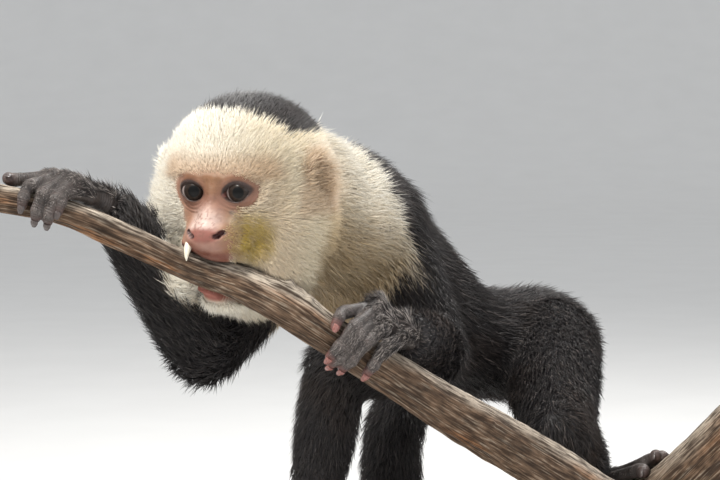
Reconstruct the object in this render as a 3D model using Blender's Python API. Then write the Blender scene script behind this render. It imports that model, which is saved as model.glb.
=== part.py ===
"""A life-size white-faced capuchin leaning on a cut branch it bites, on a plain display stand.

Metres, +Z up. The origin is the centre of the underside of the stand's base. The animal looks towards -Y
and a little to -X. Every solid of the animal reaches out to the tips of its coat. "L" and "R" are the
animal's own left and right.
"""

import math

import bmesh
import bpy
from mathutils import Matrix, Vector

# Clearances and mesh sizes
GAP = 0.0004
LIMB_GAP = 0.0008
BODY_VOXEL = 0.0035
HEAD_VOXEL = 0.0018
HAND_VOXEL = 0.00115
TRUNK_FACES = 780
HEAD_FACES = 900
ARM_FACES = 250
LEG_FACES = 290
HAND_FACES = 440
FOOT_FACES = 360
TAIL_FACES = 380
RING_POINTS = 14
PERCH_POINTS = 12
PERCH_STEPS = 1

# Head: where it is, how it is turned (degrees), and its forms
HEAD_CENTRE = Vector((-0.115, -0.188, 0.390))
HEAD_YAW = 23.0
HEAD_PITCH = 8.0
HEAD_ROLL = 0.5
EYE_SPACING = 0.0276
EYE_FORWARD = 0.0345
EYE_UP = 0.0022
EYE_RADIUS = 0.0088
ORBIT_RADII = (0.0088, 0.0080, 0.0066)
EAR_PLACE = (0.0465, 0.003, 0.004)
EAR_RADII = (0.0070, 0.0085, 0.0135)
CANINE_SIDE = -0.0138
CANINE_ROOT_UP = -0.0270
CANINE_LENGTH = 0.0088

# Stand
BASE_WIDTH = 0.36
BASE_DEPTH = 0.32
BASE_HEIGHT = 0.018
BASE_CORNER = 0.012
ROD_RADIUS = 0.005
ROD_SINK = 0.010
ROD_SPOTS = {"stand_rod_1": (0.100, 0.040), "stand_rod_2": (-0.112, 0.052)}

# Spine: each station is a point, half the breadth and half the depth of the furred body there
SPINE = (
    ((-0.100, -0.155, 0.377), 0.044, 0.043),
    ((-0.086, -0.129, 0.368), 0.047, 0.045),
    ((-0.070, -0.085, 0.360), 0.052, 0.053),
    ((-0.055, -0.035, 0.336), 0.050, 0.060),
    ((-0.023, 0.008, 0.304), 0.046, 0.052),
    ((0.015, 0.050, 0.274), 0.041, 0.041),
    ((0.050, 0.085, 0.264), 0.042, 0.041),
    ((0.075, 0.108, 0.262), 0.043, 0.043),
    ((0.096, 0.134, 0.258), 0.030, 0.034),
)

# Limbs: named joints, then the furred radius at each of them
JOINTS = {
    "shoulder_L": Vector((-0.038, -0.065, 0.356)),
    "elbow_L": Vector((-0.006, -0.108, 0.284)),
    "wrist_L": Vector((-0.022, -0.189, 0.301)),
    "shoulder_R": Vector((-0.103, -0.066, 0.337)),
    "elbow_R": Vector((-0.142, -0.155, 0.291)),
    "wrist_R": Vector((-0.190, -0.209, 0.377)),
    "hip_L": Vector((0.081, 0.076, 0.265)),
    "knee_L": Vector((0.079, -0.037, 0.223)),
    "ankle_L": Vector((0.111, 0.057, 0.170)),
    "hip_R": Vector((0.036, 0.119, 0.260)),
    "knee_R": Vector((-0.066, 0.048, 0.255)),
    "ankle_R": Vector((-0.085, 0.060, 0.136)),
}
ARM_RADII = (0.031, 0.028, 0.0245)
FOREARM_RADII = (0.0245, 0.0215, 0.0150)
THIGH_RADII = (0.038, 0.0335, 0.0240)
SHANK_RADII = (0.0230, 0.0230, 0.0150)

# Digits: the knuckle as (along the branch, degrees from its top to its front, height off its bark), then
# the tip as (along, degrees); a digit lies on the bark from its second joint on
DIGIT_TURNS = ((0.0, 0.0), (0.85, 0.45), (1.0, 0.78), (1.0, 1.0))
HAND_L = {
    "thumb": ((0.462, -43, 0.0240), (0.4205, 62)),
    "index": ((0.459, -30, 0.0205), (0.434, 128)),
    "middle": ((0.461, -27, 0.0150), (0.441, 148)),
    "ring": ((0.469, -15, 0.0105), (0.450, 137)),
    "little": ((0.482, -5, 0.0080), (0.466, 112)),
}
HAND_R = {
    "thumb": ((0.086, -32, 0.0060), (0.065, 90)),
    "index": ((0.070, 0, 0.0095), (0.0590, 128)),
    "middle": ((0.062, -8, 0.0100), (0.0490, 126)),
    "ring": ((0.054, -20, 0.0100), (0.0375, 96)),
    "little": ((0.048, -40, 0.0120), (0.0185, -12)),
}
FOOT_L = {
    "hallux": ((0.500, -2, 0.0090), (0.405, 26)),
    "toe_2": ((0.455, -12, 0.0080), (0.290, 10)),
    "toe_3": ((0.452, -24, 0.0085), (0.262, -16)),
    "toe_4": ((0.458, -38, 0.0085), (0.280, -42)),
    "toe_5": ((0.468, -50, 0.0085), (0.320, -66)),
}
FOOT_R = {
    "hallux": ((0.850, -20, 0.0080), (0.785, 34)),
    "toe_2": ((0.862, 18, 0.0085), (0.850, 112)),
    "toe_3": ((0.877, 22, 0.0085), (0.880, 120)),
    "toe_4": ((0.892, 18, 0.0085), (0.908, 114)),
    "toe_5": ((0.905, 10, 0.0080), (0.936, 100)),
}
HEELS = {"foot_L": (0.588, -34, 0.0085), "foot_R": (0.868, -82, 0.0085)}
FINGER_RADII = (0.0056, 0.0047, 0.0043, 0.0036)
TOE_RADII = (0.0060, 0.0050, 0.0046, 0.0040)
REST_GAP = 0.0006

TAIL = (
    ((0.082, 0.112, 0.268), 0.0260),
    ((0.102, 0.152, 0.258), 0.0250),
    ((0.088, 0.188, 0.244), 0.0240),
    ((0.048, 0.199, 0.236), 0.0235),
    ((0.010, 0.186, 0.226), 0.0235),
    ((-0.016, 0.160, 0.212), 0.0235),
    ((-0.026, 0.138, 0.188), 0.0240),
    ((-0.027, 0.132, 0.155), 0.0240),
    ((-0.025, 0.128, 0.120), 0.0235),
    ((-0.022, 0.115, 0.088), 0.0225),
    ((-0.014, 0.085, 0.062), 0.0205),
    ((0.000, 0.052, 0.051), 0.0175),
    ((0.014, 0.020, 0.060), 0.0125),
)

BRANCH = (
    ((-0.255, -0.238, 0.385), 0.0079),
    ((-0.212, -0.237, 0.3755), 0.0077),
    ((-0.176, -0.2290, 0.3595), 0.0079),
    ((-0.148, -0.2190, 0.3452), 0.0080),
    ((-0.116, -0.2180, 0.334), 0.0105),
    ((-0.092, -0.2190, 0.322), 0.0118),
    ((-0.067, -0.214, 0.305), 0.0110),
    ((-0.028, -0.199, 0.278), 0.0125),
    ((0.002, -0.182, 0.257), 0.0137),
    ((0.028, -0.165, 0.240), 0.0148),
    ((0.071, -0.135, 0.210), 0.0162),
    ((0.098, -0.110, 0.189), 0.0170),
    ((0.127, -0.078, 0.167), 0.0180),
    ((0.154, -0.030, 0.144), 0.0190),
    ((0.158, 0.004, 0.138), 0.0195),
)
LIMB = (
    ((0.212, -0.038, 0.232), 0.0250),
    ((0.203, -0.029, 0.220), 0.0250),
    ((0.175, -0.010, 0.186), 0.0255),
    ((0.156, 0.007, 0.164), 0.0262),
    ((0.133, 0.021, 0.148), 0.0268),
    ((0.109, 0.035, 0.135), 0.0265),
    ((0.047, 0.049, 0.117), 0.0255),
    ((-0.022, 0.053, 0.107), 0.0250),
    ((-0.079, 0.052, 0.097), 0.0245),
    ((-0.133, 0.052, 0.087), 0.0240),
)


def clear_scene():
    """Starts from an empty scene."""
    for obj in list(bpy.data.objects):
        bpy.data.objects.remove(obj, do_unlink=True)


def new_object(name, mesh_builder):
    """A new object holding the closed mesh that mesh_builder is."""
    mesh_builder.normal_update()
    bmesh.ops.recalc_face_normals(mesh_builder, faces=mesh_builder.faces)
    mesh = bpy.data.meshes.new(name)
    mesh_builder.to_mesh(mesh)
    mesh_builder.free()
    obj = bpy.data.objects.new(name, mesh)
    bpy.context.scene.collection.objects.link(obj)
    return obj


def between(first, second, third, fourth, t):
    """A value on the smooth curve through four others, t of the way from the second to the third."""
    return 0.5 * (
        2 * second
        + (third - first) * t
        + (2 * first - 5 * second + 4 * third - fourth) * t**2
        + (3 * second - first - 3 * third + fourth) * t**3
    )


def refine(stations, steps):
    """Stations of (point, breadth, depth) with steps - 1 new ones between each pair, on a smooth curve."""
    rows = [(Vector(s[0]), s[1], s[-1]) for s in stations]
    rows = [rows[0]] + rows + [rows[-1]]
    out = []
    for i in range(1, len(rows) - 2):
        for k in range(steps):
            t = k / steps
            out.append(tuple(between(*(rows[i + j][n] for j in (-1, 0, 1, 2)), t) for n in range(3)))
    out.append(rows[-2])
    return out


def sweep(name, stations, steps=4, points=RING_POINTS):
    """A closed tube through the stations, with round ends."""
    rows = refine(stations, steps)
    ends = []
    for row, step in ((rows[0], rows[0][0] - rows[1][0]), (rows[-1], rows[-1][0] - rows[-2][0])):
        cap = []
        for angle in (25, 50, 72):
            shrink = math.cos(math.radians(angle))
            shift = step.normalized() * row[2] * math.sin(math.radians(angle))
            cap.append((row[0] + shift, row[1] * shrink, row[2] * shrink))
        ends.append(cap)
    rows = ends[0][::-1] + rows + ends[1]
    builder = bmesh.new()
    rings = []
    for i, (point, breadth, depth) in enumerate(rows):
        along = (rows[min(i + 1, len(rows) - 1)][0] - rows[max(i - 1, 0)][0]).normalized()
        side = along.cross(Vector((0, 0, 1)))
        if side.length < 0.2:
            side = along.cross(Vector((0, 1, 0))) if not rings else last_side - along * last_side.dot(along)
        side.normalize()
        if rings and side.dot(last_side) < 0:
            side = -side
        if rings and abs(side.dot(last_side)) < 0.8:
            side = (last_side - along * last_side.dot(along)).normalized()
        last_side = side
        up = side.cross(along)
        ring = []
        for k in range(points):
            turn = 2 * math.pi * k / points
            offset = side * math.cos(turn) * breadth + up * math.sin(turn) * depth
            ring.append(builder.verts.new(point + offset))
        rings.append(ring)
    for ring, following in zip(rings, rings[1:]):
        for k in range(points):
            nxt = (k + 1) % points
            builder.faces.new((ring[k], ring[nxt], following[nxt], following[k]))
    builder.faces.new(rings[0][::-1])
    builder.faces.new(rings[-1])
    return new_object(name, builder)


def ellipsoid(name, centre, radii, axes=None, detail=3):
    """A closed ellipsoid whose three radii lie along the axes."""
    turn = Matrix(axes).transposed() if axes else Matrix.Identity(3)
    builder = bmesh.new()
    bmesh.ops.create_icosphere(builder, subdivisions=detail, radius=1.0)
    for vert in builder.verts:
        vert.co = Vector(centre) + turn @ Vector([c * r for c, r in zip(vert.co, radii)])
    return new_object(name, builder)


def cylinder(name, foot, head, radius, segments=24):
    """A closed cylinder from foot to head."""
    axis = Vector(head) - Vector(foot)
    builder = bmesh.new()
    turn = axis.to_track_quat("Z", "Y").to_matrix().to_4x4()
    bmesh.ops.create_cone(
        builder,
        cap_ends=True,
        segments=segments,
        radius1=radius,
        radius2=radius,
        depth=axis.length,
        matrix=Matrix.Translation((Vector(foot) + Vector(head)) / 2) @ turn,
    )
    return new_object(name, builder)


def select_only(obj):
    """Makes obj the one selected, active object."""
    for other in bpy.context.selected_objects:
        other.select_set(False)
    obj.select_set(True)
    bpy.context.view_layer.objects.active = obj


def apply(obj, kind, **settings):
    """Adds a modifier with these settings and applies it."""
    modifier = obj.modifiers.new(kind.lower(), kind)
    for key, value in settings.items():
        setattr(modifier, key, value)
    select_only(obj)
    bpy.ops.object.modifier_apply(modifier=modifier.name)


def joined(name, pieces):
    """All pieces as one object, not yet merged."""
    select_only(pieces[0])
    for piece in pieces[1:]:
        piece.select_set(True)
    bpy.ops.object.join()
    pieces[0].name = name
    return pieces[0]


def fused(name, pieces, voxel, smoothing, faces):
    """One closed surface round all pieces, softened where they meet, of about this many triangles."""
    obj = joined(name, pieces)
    apply(obj, "REMESH", mode="VOXEL", voxel_size=voxel, adaptivity=0.0)
    apply(obj, "SMOOTH", factor=0.5, iterations=smoothing)
    apply(obj, "TRIANGULATE")
    apply(obj, "DECIMATE", ratio=min(1.0, faces / len(obj.data.polygons)))
    return obj


def cut(obj, cutters):
    """Takes the cutters out of obj and removes them."""
    for cutter in cutters:
        apply(obj, "BOOLEAN", object=cutter, operation="DIFFERENCE", solver="EXACT")
        bpy.data.objects.remove(cutter, do_unlink=True)


def islands(obj):
    """The separate closed bodies of obj, each as its own object."""
    select_only(obj)
    bpy.ops.mesh.separate(type="LOOSE")
    return list(bpy.context.selected_objects)


def middle(obj):
    """The mean of the points of obj."""
    total = Vector((0, 0, 0))
    for vert in obj.data.vertices:
        total += vert.co
    return total / len(obj.data.vertices)


def keep_named(obj, spots):
    """Splits obj into its bodies, names each by the nearest spot, and drops those that no spot claims."""
    obj.name = "unsorted"
    pieces = islands(obj)
    for name, spot in spots.items():
        piece = min(pieces, key=lambda p: (middle(p) - Vector(spot)).length)
        pieces.remove(piece)
        piece.name = name
        piece.data.name = name
    for piece in pieces:
        bpy.data.objects.remove(piece, do_unlink=True)


def keep_largest(obj, name):
    """Drops every body of obj but the one with the most faces."""
    obj.name = "unsorted"
    pieces = sorted(islands(obj), key=lambda p: len(p.data.polygons))
    largest = pieces.pop()
    largest.name = name
    largest.data.name = name
    for piece in pieces:
        bpy.data.objects.remove(piece, do_unlink=True)
    return largest


def grown(stations, extra):
    """The stations with every radius larger by extra."""
    return tuple((s[0],) + tuple(r + extra for r in s[1:]) for s in stations)


def slab(name, point, normal, radius, thickness=GAP):
    """A thin round slab centred at point, square to normal."""
    half = Vector(normal).normalized() * thickness / 2
    return cylinder(name, Vector(point) - half, Vector(point) + half, radius, segments=18)


class HeadFrame:
    """Turns distances to the animal's left, forward and up, from the middle of its head, into points."""

    def __init__(self, centre, yaw, pitch, roll):
        yaw, pitch, roll = (math.radians(a) for a in (yaw, pitch, roll))
        ahead = Vector((-math.sin(yaw), -math.cos(yaw), 0))
        forward = ahead * math.cos(pitch) - Vector((0, 0, math.sin(pitch)))
        level = Vector((math.cos(yaw), -math.sin(yaw), 0))
        upright = forward.cross(level)
        self.centre = centre
        self.forward = forward
        self.left = level * math.cos(roll) - upright * math.sin(roll)
        self.up = upright * math.cos(roll) + level * math.sin(roll)

    def at(self, left, forward, up):
        """The point at these distances."""
        return self.centre + self.left * left + self.forward * forward + self.up * up

    def blob(self, name, place, radii, detail=3):
        """An ellipsoid at a place, its radii along left, forward and up."""
        return ellipsoid(name, self.at(*place), radii, (self.left, self.forward, self.up), detail)


class Perch:
    """A length of branch that hands and feet can be laid round."""

    def __init__(self, stations):
        self.rows = refine(stations, 6)

    def at(self, along, angle, lift):
        """The point this far along the branch, turned `angle` degrees from its top to its front (-Y)."""
        place = along * (len(self.rows) - 1)
        i = min(int(place), len(self.rows) - 2)
        here, after = self.rows[i], self.rows[i + 1]
        point = here[0].lerp(after[0], place - i)
        tangent = (after[0] - here[0]).normalized()
        radius = here[1] + (after[1] - here[1]) * (place - i)
        front = Vector((0, -1, 0)) - tangent * tangent.dot(Vector((0, -1, 0)))
        front.normalize()
        top = tangent.cross(front)
        if top.z < 0:
            top = -top
        turn = math.radians(angle)
        return point + (top * math.cos(turn) + front * math.sin(turn)) * (radius + lift)


def build_head(frame):
    """The head, its lower jaw, ears, eyes and the canine that shows. Returns the whole head as a cutter."""
    forms = [
        frame.blob("cranium", (0, -0.004, 0.005), (0.049, 0.049, 0.0465)),
        frame.blob("occiput", (0.004, -0.018, -0.004), (0.044, 0.040, 0.042)),
        frame.blob("ruff_l", (0.029, 0.004, -0.018), (0.026, 0.029, 0.032)),
        frame.blob("ruff_r", (-0.031, 0.004, -0.014), (0.0265, 0.029, 0.034)),
        frame.blob("face", (0, 0.021, -0.003), (0.031, 0.023, 0.031)),
        frame.blob("brow", (0, 0.0335, 0.0105), (0.023, 0.0105, 0.0065)),
        frame.blob("cheek_l", (0.018, 0.026, -0.018), (0.015, 0.016, 0.014)),
        frame.blob("cheek_r", (-0.018, 0.026, -0.018), (0.015, 0.016, 0.014)),
        frame.blob("bridge", (0, 0.038, -0.008), (0.0070, 0.011, 0.014)),
        frame.blob("muzzle", (-0.003, 0.034, -0.0215), (0.0185, 0.0205, 0.0125)),
        frame.blob("nose", (-0.002, 0.0510, -0.0190), (0.0095, 0.0055, 0.0060)),
        frame.blob("upper_lip", (-0.003, 0.040, -0.0290), (0.0200, 0.0150, 0.0065)),
        frame.blob("jowl_l", (0.0165, 0.024, -0.035), (0.0130, 0.0150, 0.0120)),
        frame.blob("chin", (0, 0.026, -0.060), (0.0165, 0.0200, 0.0095)),
        frame.blob("beard_r", (-0.029, 0.014, -0.049), (0.018, 0.020, 0.019)),
        frame.blob("beard_l", (0.027, 0.013, -0.042), (0.019, 0.022, 0.022)),
        frame.blob("throat", (0.002, 0.006, -0.052), (0.030, 0.028, 0.027)),
        sweep("nape", ((HEAD_CENTRE, 0.044, 0.044), (SPINE[2][0], 0.052, 0.056))),
    ]
    head = fused("head", forms, HEAD_VOXEL, 5, HEAD_FACES)
    whole = swollen(head)
    mouth = frame.blob("mouth", (-0.002, 0.042, -0.0430), (0.0150, 0.027, 0.0100), 2)
    cut(head, [mouth, sweep("bitten", grown(BRANCH, GAP), PERCH_STEPS, PERCH_POINTS)])
    seats = []
    for side, sign in (("L", 1), ("R", -1)):
        eye = frame.at(sign * EYE_SPACING / 2, EYE_FORWARD, EYE_UP)
        ellipsoid("eye_" + side, eye, (EYE_RADIUS,) * 3, detail=2)
        seats.append(ellipsoid("socket", eye, (EYE_RADIUS + GAP,) * 3, detail=2))
        orbit = (sign * EYE_SPACING / 2, EYE_FORWARD + EYE_RADIUS + 0.0020, EYE_UP)
        seats.append(frame.blob("orbit", orbit, ORBIT_RADII, 2))
        ear = (sign * EAR_PLACE[0], EAR_PLACE[1], EAR_PLACE[2])
        plate = frame.blob("ear_" + side, ear, EAR_RADII)
        hollow = (sign * (EAR_PLACE[0] + EAR_RADII[0]), EAR_PLACE[1] + 0.003, EAR_PLACE[2])
        cut(plate, [frame.blob("concha", hollow, [r * 0.68 for r in EAR_RADII], 2)])
        seats.append(frame.blob("ear_seat", ear, [r + GAP for r in EAR_RADII]))
    tooth = canine_stations(frame)
    sweep("canine_R", tooth, 1, 8)
    cut(head, seats + [sweep("tooth_seat", grown(tooth, GAP), 1, 8)])
    hinge = slab("hinge", frame.at(0, 0.020, -0.052), frame.up - frame.forward * 0.6, 0.070)
    cut(head, [hinge, neck_cutter(GAP / 2)])
    keep_named(head, {"head": frame.at(0, 0.005, 0), "jaw": frame.at(0, 0.020, -0.060)})
    return whole


def canine_stations(frame):
    """The curve of the upper right canine tooth, from inside the lip down and a little forward."""
    root = frame.at(CANINE_SIDE, 0.0490, CANINE_ROOT_UP)
    tip = frame.at(CANINE_SIDE, 0.0540, CANINE_ROOT_UP - CANINE_LENGTH)
    half = root.lerp(tip, 0.5) + frame.forward * 0.0015
    return ((root, 0.0026), (half, 0.0021), (tip, 0.0008))


def neck_cutter(shift):
    """All behind the plane between head and neck for a positive shift, or before it for a negative one."""
    foot = HEAD_CENTRE.lerp(Vector(SPINE[1][0]), 0.9)
    axis = (Vector(SPINE[2][0]) - Vector(SPINE[0][0])).normalized()
    return cylinder("neck_cutter", foot - axis * shift, foot + axis * math.copysign(0.13, shift), 0.13)


def duplicate(obj):
    """A copy of obj with its own mesh."""
    copy = obj.copy()
    copy.data = obj.data.copy()
    bpy.context.scene.collection.objects.link(copy)
    return copy


def swollen(obj):
    """A copy of obj that reaches a limb's clearance further out all round."""
    copy = duplicate(obj)
    apply(copy, "DISPLACE", strength=LIMB_GAP, mid_level=0.0, direction="NORMAL")
    return copy


def joint_slab(before, joint, after, radius):
    """The thin slab that halves the bend of a limb at a joint."""
    above = (before - joint).normalized()
    below = (after - joint).normalized()
    inside = (above + below).normalized()
    return slab("joint_slab", joint + inside * radius / 2, below - above, radius)


def end_cutter(before, joint, shift, radius, reach):
    """All of a limb beyond a plane square to it at its last joint, or before it for a negative reach."""
    axis = (joint - before).normalized()
    return cylinder("end_cutter", joint + axis * shift, joint + axis * reach, radius)


def build_trunk():
    """The trunk in four lengths: neck, chest, loin and pelvis. Returns the whole trunk as a cutter."""
    left, right = JOINTS["shoulder_L"], JOINTS["shoulder_R"]
    forms = [
        sweep("spine", SPINE),
        ellipsoid("mantle", left.lerp(right, 0.45) + Vector((0.010, 0.010, 0.011)), (0.050, 0.052, 0.042)),
        ellipsoid("rump_l", JOINTS["hip_L"] + Vector((-0.004, 0.022, 0.002)), (0.036, 0.040, 0.036)),
        ellipsoid("rump_r", JOINTS["hip_R"] + Vector((0.016, 0.012, 0.002)), (0.036, 0.036, 0.036)),
    ]
    trunk = fused("trunk", forms, BODY_VOXEL, 6, TRUNK_FACES)
    whole = swollen(trunk)
    cut(trunk, [neck_cutter(-GAP / 2)])
    cuts = []
    for i, lean in ((2, 0.6), (4, 0.5), (6, 0.3)):
        point = Vector(SPINE[i][0]).lerp(Vector(SPINE[i + 1][0]), lean)
        cuts.append(slab("spine_slab", point, Vector(SPINE[i + 1][0]) - Vector(SPINE[i][0]), 0.085))
    cut(trunk, cuts)
    spots = {"neck": SPINE[2][0], "chest": SPINE[3][0], "loin": SPINE[5][0], "pelvis": SPINE[7][0]}
    keep_named(trunk, spots)
    return whole


def build_limb(names, joints, radii, bodies, faces):
    """A limb of two bones: parted at its middle joint, ended at its last one, and clear of the bodies."""
    first, second, last = joints
    beyond = last + (last - second).normalized() * 0.02
    upper = ((first, radii[0][0]), (first.lerp(second, 0.5), radii[0][1]), (second, radii[0][2]))
    lower = (
        (second, radii[1][0]),
        (second.lerp(last, 0.45), radii[1][1]),
        (last, radii[1][2]),
        (beyond, radii[1][2]),
    )
    limb = fused(names[0], [sweep("upper", upper), sweep("lower", lower)], BODY_VOXEL * 0.8, 5, faces)
    cut(limb, [duplicate(body) for body in bodies] + [end_cutter(second, last, -GAP / 2, 0.035, 0.06)])
    cut(limb, [joint_slab(first, second, last, 0.062)])
    keep_named(limb, {names[0]: first.lerp(second, 0.6), names[1]: second.lerp(last, 0.5)})


def digit_points(perch, knuckle, tip, radii):
    """The joints of a digit that starts at a knuckle and then lies on the bark."""
    out = []
    for (share_along, share_turn), radius in zip(DIGIT_TURNS, radii):
        along = knuckle[0] + (tip[0] - knuckle[0]) * share_along
        angle = knuckle[1] + (tip[1] - knuckle[1]) * share_turn
        lift = knuckle[2] if not share_along else radius + REST_GAP
        out.append((perch.at(along, angle, lift), radius))
    return out


def build_paw(name, perch, digits, start, before, radii, bark, faces):
    """A hand or foot: its palm or sole from the last joint of the limb to the knuckles, and five digits."""
    forms = []
    for digit, (knuckle, tip) in digits.items():
        points = digit_points(perch, knuckle, tip, radii)
        forms.append(sweep(digit, points, 3))
        root = start.lerp(points[0][0], 0.25)
        forms.append(sweep("ray", ((root, 0.0085), (points[0][0], 0.0066)), 3))
    palm = start.lerp(forms_middle(digits, perch), 0.5)
    if name in HEELS:
        heel = perch.at(*HEELS[name])
        forms.append(sweep("heel", ((heel, 0.0095), (palm, 0.0100)), 3))
        forms.append(sweep("heel_cord", ((heel, 0.0090), (start, 0.0120)), 3))
    inside = start - (start - before).normalized() * 0.012
    forms.append(sweep("wrist", ((inside, 0.0145), (start, 0.0140), (palm, 0.0095)), 3))
    paw = fused(name, forms, HAND_VOXEL, 3, faces)
    cut(paw, [duplicate(bark), end_cutter(before, start, GAP / 2, 0.030, -0.05)])
    keep_largest(paw, name)


def forms_middle(digits, perch):
    """The middle of the knuckles of a hand or foot, without its thumb or first toe."""
    knuckles = [perch.at(*knuckle) for knuckle, _ in list(digits.values())[1:]]
    return sum(knuckles, Vector((0, 0, 0))) / len(knuckles)


def build_tail(trunk):
    """The tail, clear of the trunk, in six lengths."""
    tail = fused("tail", [sweep("tail_form", TAIL, 5)], BODY_VOXEL * 0.8, 3, TAIL_FACES)
    cut(tail, [duplicate(trunk)])
    cuts = []
    for i in (2, 4, 6, 8, 10):
        normal = Vector(TAIL[i + 1][0]) - Vector(TAIL[i - 1][0])
        cuts.append(slab("tail_slab", TAIL[i][0], normal, 0.030))
    cut(tail, cuts)
    keep_named(tail, {f"tail_{n + 1}": TAIL[2 * n + 1][0] for n in range(6)})


def build_perch(frame):
    """The bitten branch and the thicker limb it forks from."""
    limb = sweep("perch_limb", LIMB, PERCH_STEPS, PERCH_POINTS)
    branch = sweep("perch_branch", BRANCH, PERCH_STEPS, PERCH_POINTS)
    bite = sweep("bite", grown(canine_stations(frame), GAP), 1, 8)
    cut(branch, [sweep("limb_seat", grown(LIMB, GAP), PERCH_STEPS, PERCH_POINTS), bite])
    keep_largest(branch, "perch_branch")
    return limb


def build_stand(limb):
    """A flat base and two short rods that reach into the thick limb."""
    builder = bmesh.new()
    bmesh.ops.create_cube(builder, size=1.0)
    for vert in builder.verts:
        vert.co = Vector((vert.co.x * BASE_WIDTH, vert.co.y * BASE_DEPTH, (vert.co.z + 0.5) * BASE_HEIGHT))
    upright = [e for e in builder.edges if abs(e.verts[0].co.z - e.verts[1].co.z) > BASE_HEIGHT / 2]
    bmesh.ops.bevel(builder, geom=upright, offset=BASE_CORNER, segments=5, affect="EDGES", profile=0.5)
    base = new_object("stand_base", builder)
    perch = Perch(LIMB)
    holes = []
    for name, (x, y) in ROD_SPOTS.items():
        under = min((row[0] for row in perch.rows), key=lambda p: abs(p.x - x) + abs(p.y - y))
        foot = Vector((x, y, BASE_HEIGHT - ROD_SINK))
        head = Vector((x, y, under.z - 0.006))
        cylinder(name, foot, head, ROD_RADIUS, 20)
        spare = Vector((0, 0, GAP))
        holes.append(cylinder("hole", foot - spare, head + spare, ROD_RADIUS + GAP, 20))
    cut(limb, [duplicate(hole) for hole in holes])
    cut(base, holes)


def paint():
    """Gives every node its own plain material, by the kind of part it is."""
    tones = {
        "eye": (0.05, 0.02, 0.01),
        "canine": (0.85, 0.80, 0.65),
        "ear": (0.62, 0.42, 0.34),
        "head": (0.80, 0.74, 0.62),
        "jaw": (0.80, 0.72, 0.60),
        "neck": (0.82, 0.77, 0.66),
        "chest": (0.78, 0.73, 0.62),
        "hand": (0.28, 0.24, 0.23),
        "foot": (0.24, 0.21, 0.20),
        "perch": (0.38, 0.29, 0.21),
        "stand": (0.16, 0.16, 0.17),
    }
    for obj in bpy.context.scene.objects:
        tone = next((v for k, v in tones.items() if obj.name.startswith(k)), (0.045, 0.042, 0.045))
        material = bpy.data.materials.new(obj.name)
        material.use_nodes = True
        material.node_tree.nodes["Principled BSDF"].inputs["Base Color"].default_value = (*tone, 1.0)
        material.node_tree.nodes["Principled BSDF"].inputs["Roughness"].default_value = 0.75
        obj.data.materials.clear()
        obj.data.materials.append(material)


def main():
    clear_scene()
    frame = HeadFrame(HEAD_CENTRE, HEAD_YAW, HEAD_PITCH, HEAD_ROLL)
    head = build_head(frame)
    trunk = build_trunk()
    barks = [sweep("bark", grown(form, GAP), PERCH_STEPS, PERCH_POINTS) for form in (BRANCH, LIMB)]
    for side in ("L", "R"):
        arm = [JOINTS[f"{joint}_{side}"] for joint in ("shoulder", "elbow", "wrist")]
        leg = [JOINTS[f"{joint}_{side}"] for joint in ("hip", "knee", "ankle")]
        arm_names = (f"upper_arm_{side}", f"forearm_{side}")
        leg_names = (f"thigh_{side}", f"shank_{side}")
        build_limb(arm_names, arm, (ARM_RADII, FOREARM_RADII), (trunk, head), ARM_FACES)
        build_limb(leg_names, leg, (THIGH_RADII, SHANK_RADII), (trunk, barks[1]), LEG_FACES)
        hand, foot = (HAND_L, FOOT_L) if side == "L" else (HAND_R, FOOT_R)
        build_paw(f"hand_{side}", Perch(BRANCH), hand, arm[2], arm[1], FINGER_RADII, barks[0], HAND_FACES)
        build_paw(f"foot_{side}", Perch(LIMB), foot, leg[2], leg[1], TOE_RADII, barks[1], FOOT_FACES)
    build_tail(trunk)
    for body in (head, trunk, *barks):
        bpy.data.objects.remove(body, do_unlink=True)
    build_stand(build_perch(frame))
    paint()


main()
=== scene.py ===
"""Dresses the capuchin on its bitten branch: skin, coat, eyes, nails, tooth, bark and stand.

Metres, +Z up, in the frame's own axes.
"""

import logging
import math
from dataclasses import dataclass, field
from enum import Enum

import bmesh
import bpy
import numpy as np
from mathutils import Matrix, Vector


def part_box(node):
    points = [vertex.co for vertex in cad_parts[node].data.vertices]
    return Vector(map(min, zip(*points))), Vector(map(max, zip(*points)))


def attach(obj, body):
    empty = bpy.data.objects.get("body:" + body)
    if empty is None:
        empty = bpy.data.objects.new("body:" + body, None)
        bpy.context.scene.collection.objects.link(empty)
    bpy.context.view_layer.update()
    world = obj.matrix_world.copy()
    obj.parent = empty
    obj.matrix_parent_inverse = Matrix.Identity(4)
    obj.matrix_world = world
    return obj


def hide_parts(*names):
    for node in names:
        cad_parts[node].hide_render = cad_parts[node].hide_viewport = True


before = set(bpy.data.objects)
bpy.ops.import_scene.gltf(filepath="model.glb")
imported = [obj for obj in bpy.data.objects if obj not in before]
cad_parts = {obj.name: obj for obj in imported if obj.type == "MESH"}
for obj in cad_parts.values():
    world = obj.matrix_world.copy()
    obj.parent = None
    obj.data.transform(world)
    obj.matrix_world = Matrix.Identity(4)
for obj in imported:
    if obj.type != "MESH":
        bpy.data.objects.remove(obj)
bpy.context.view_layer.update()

LOG = logging.getLogger("capuchin")
MM = 0.001
FAR = 1e9
TAU = 2.0 * math.pi
Array = np.ndarray
Triple = tuple[float, float, float]
Colour = Triple
Thing = bpy.types.Object
Material = bpy.types.Material
Chance = np.random.Generator


# ---- places and sizes of the animal

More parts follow.
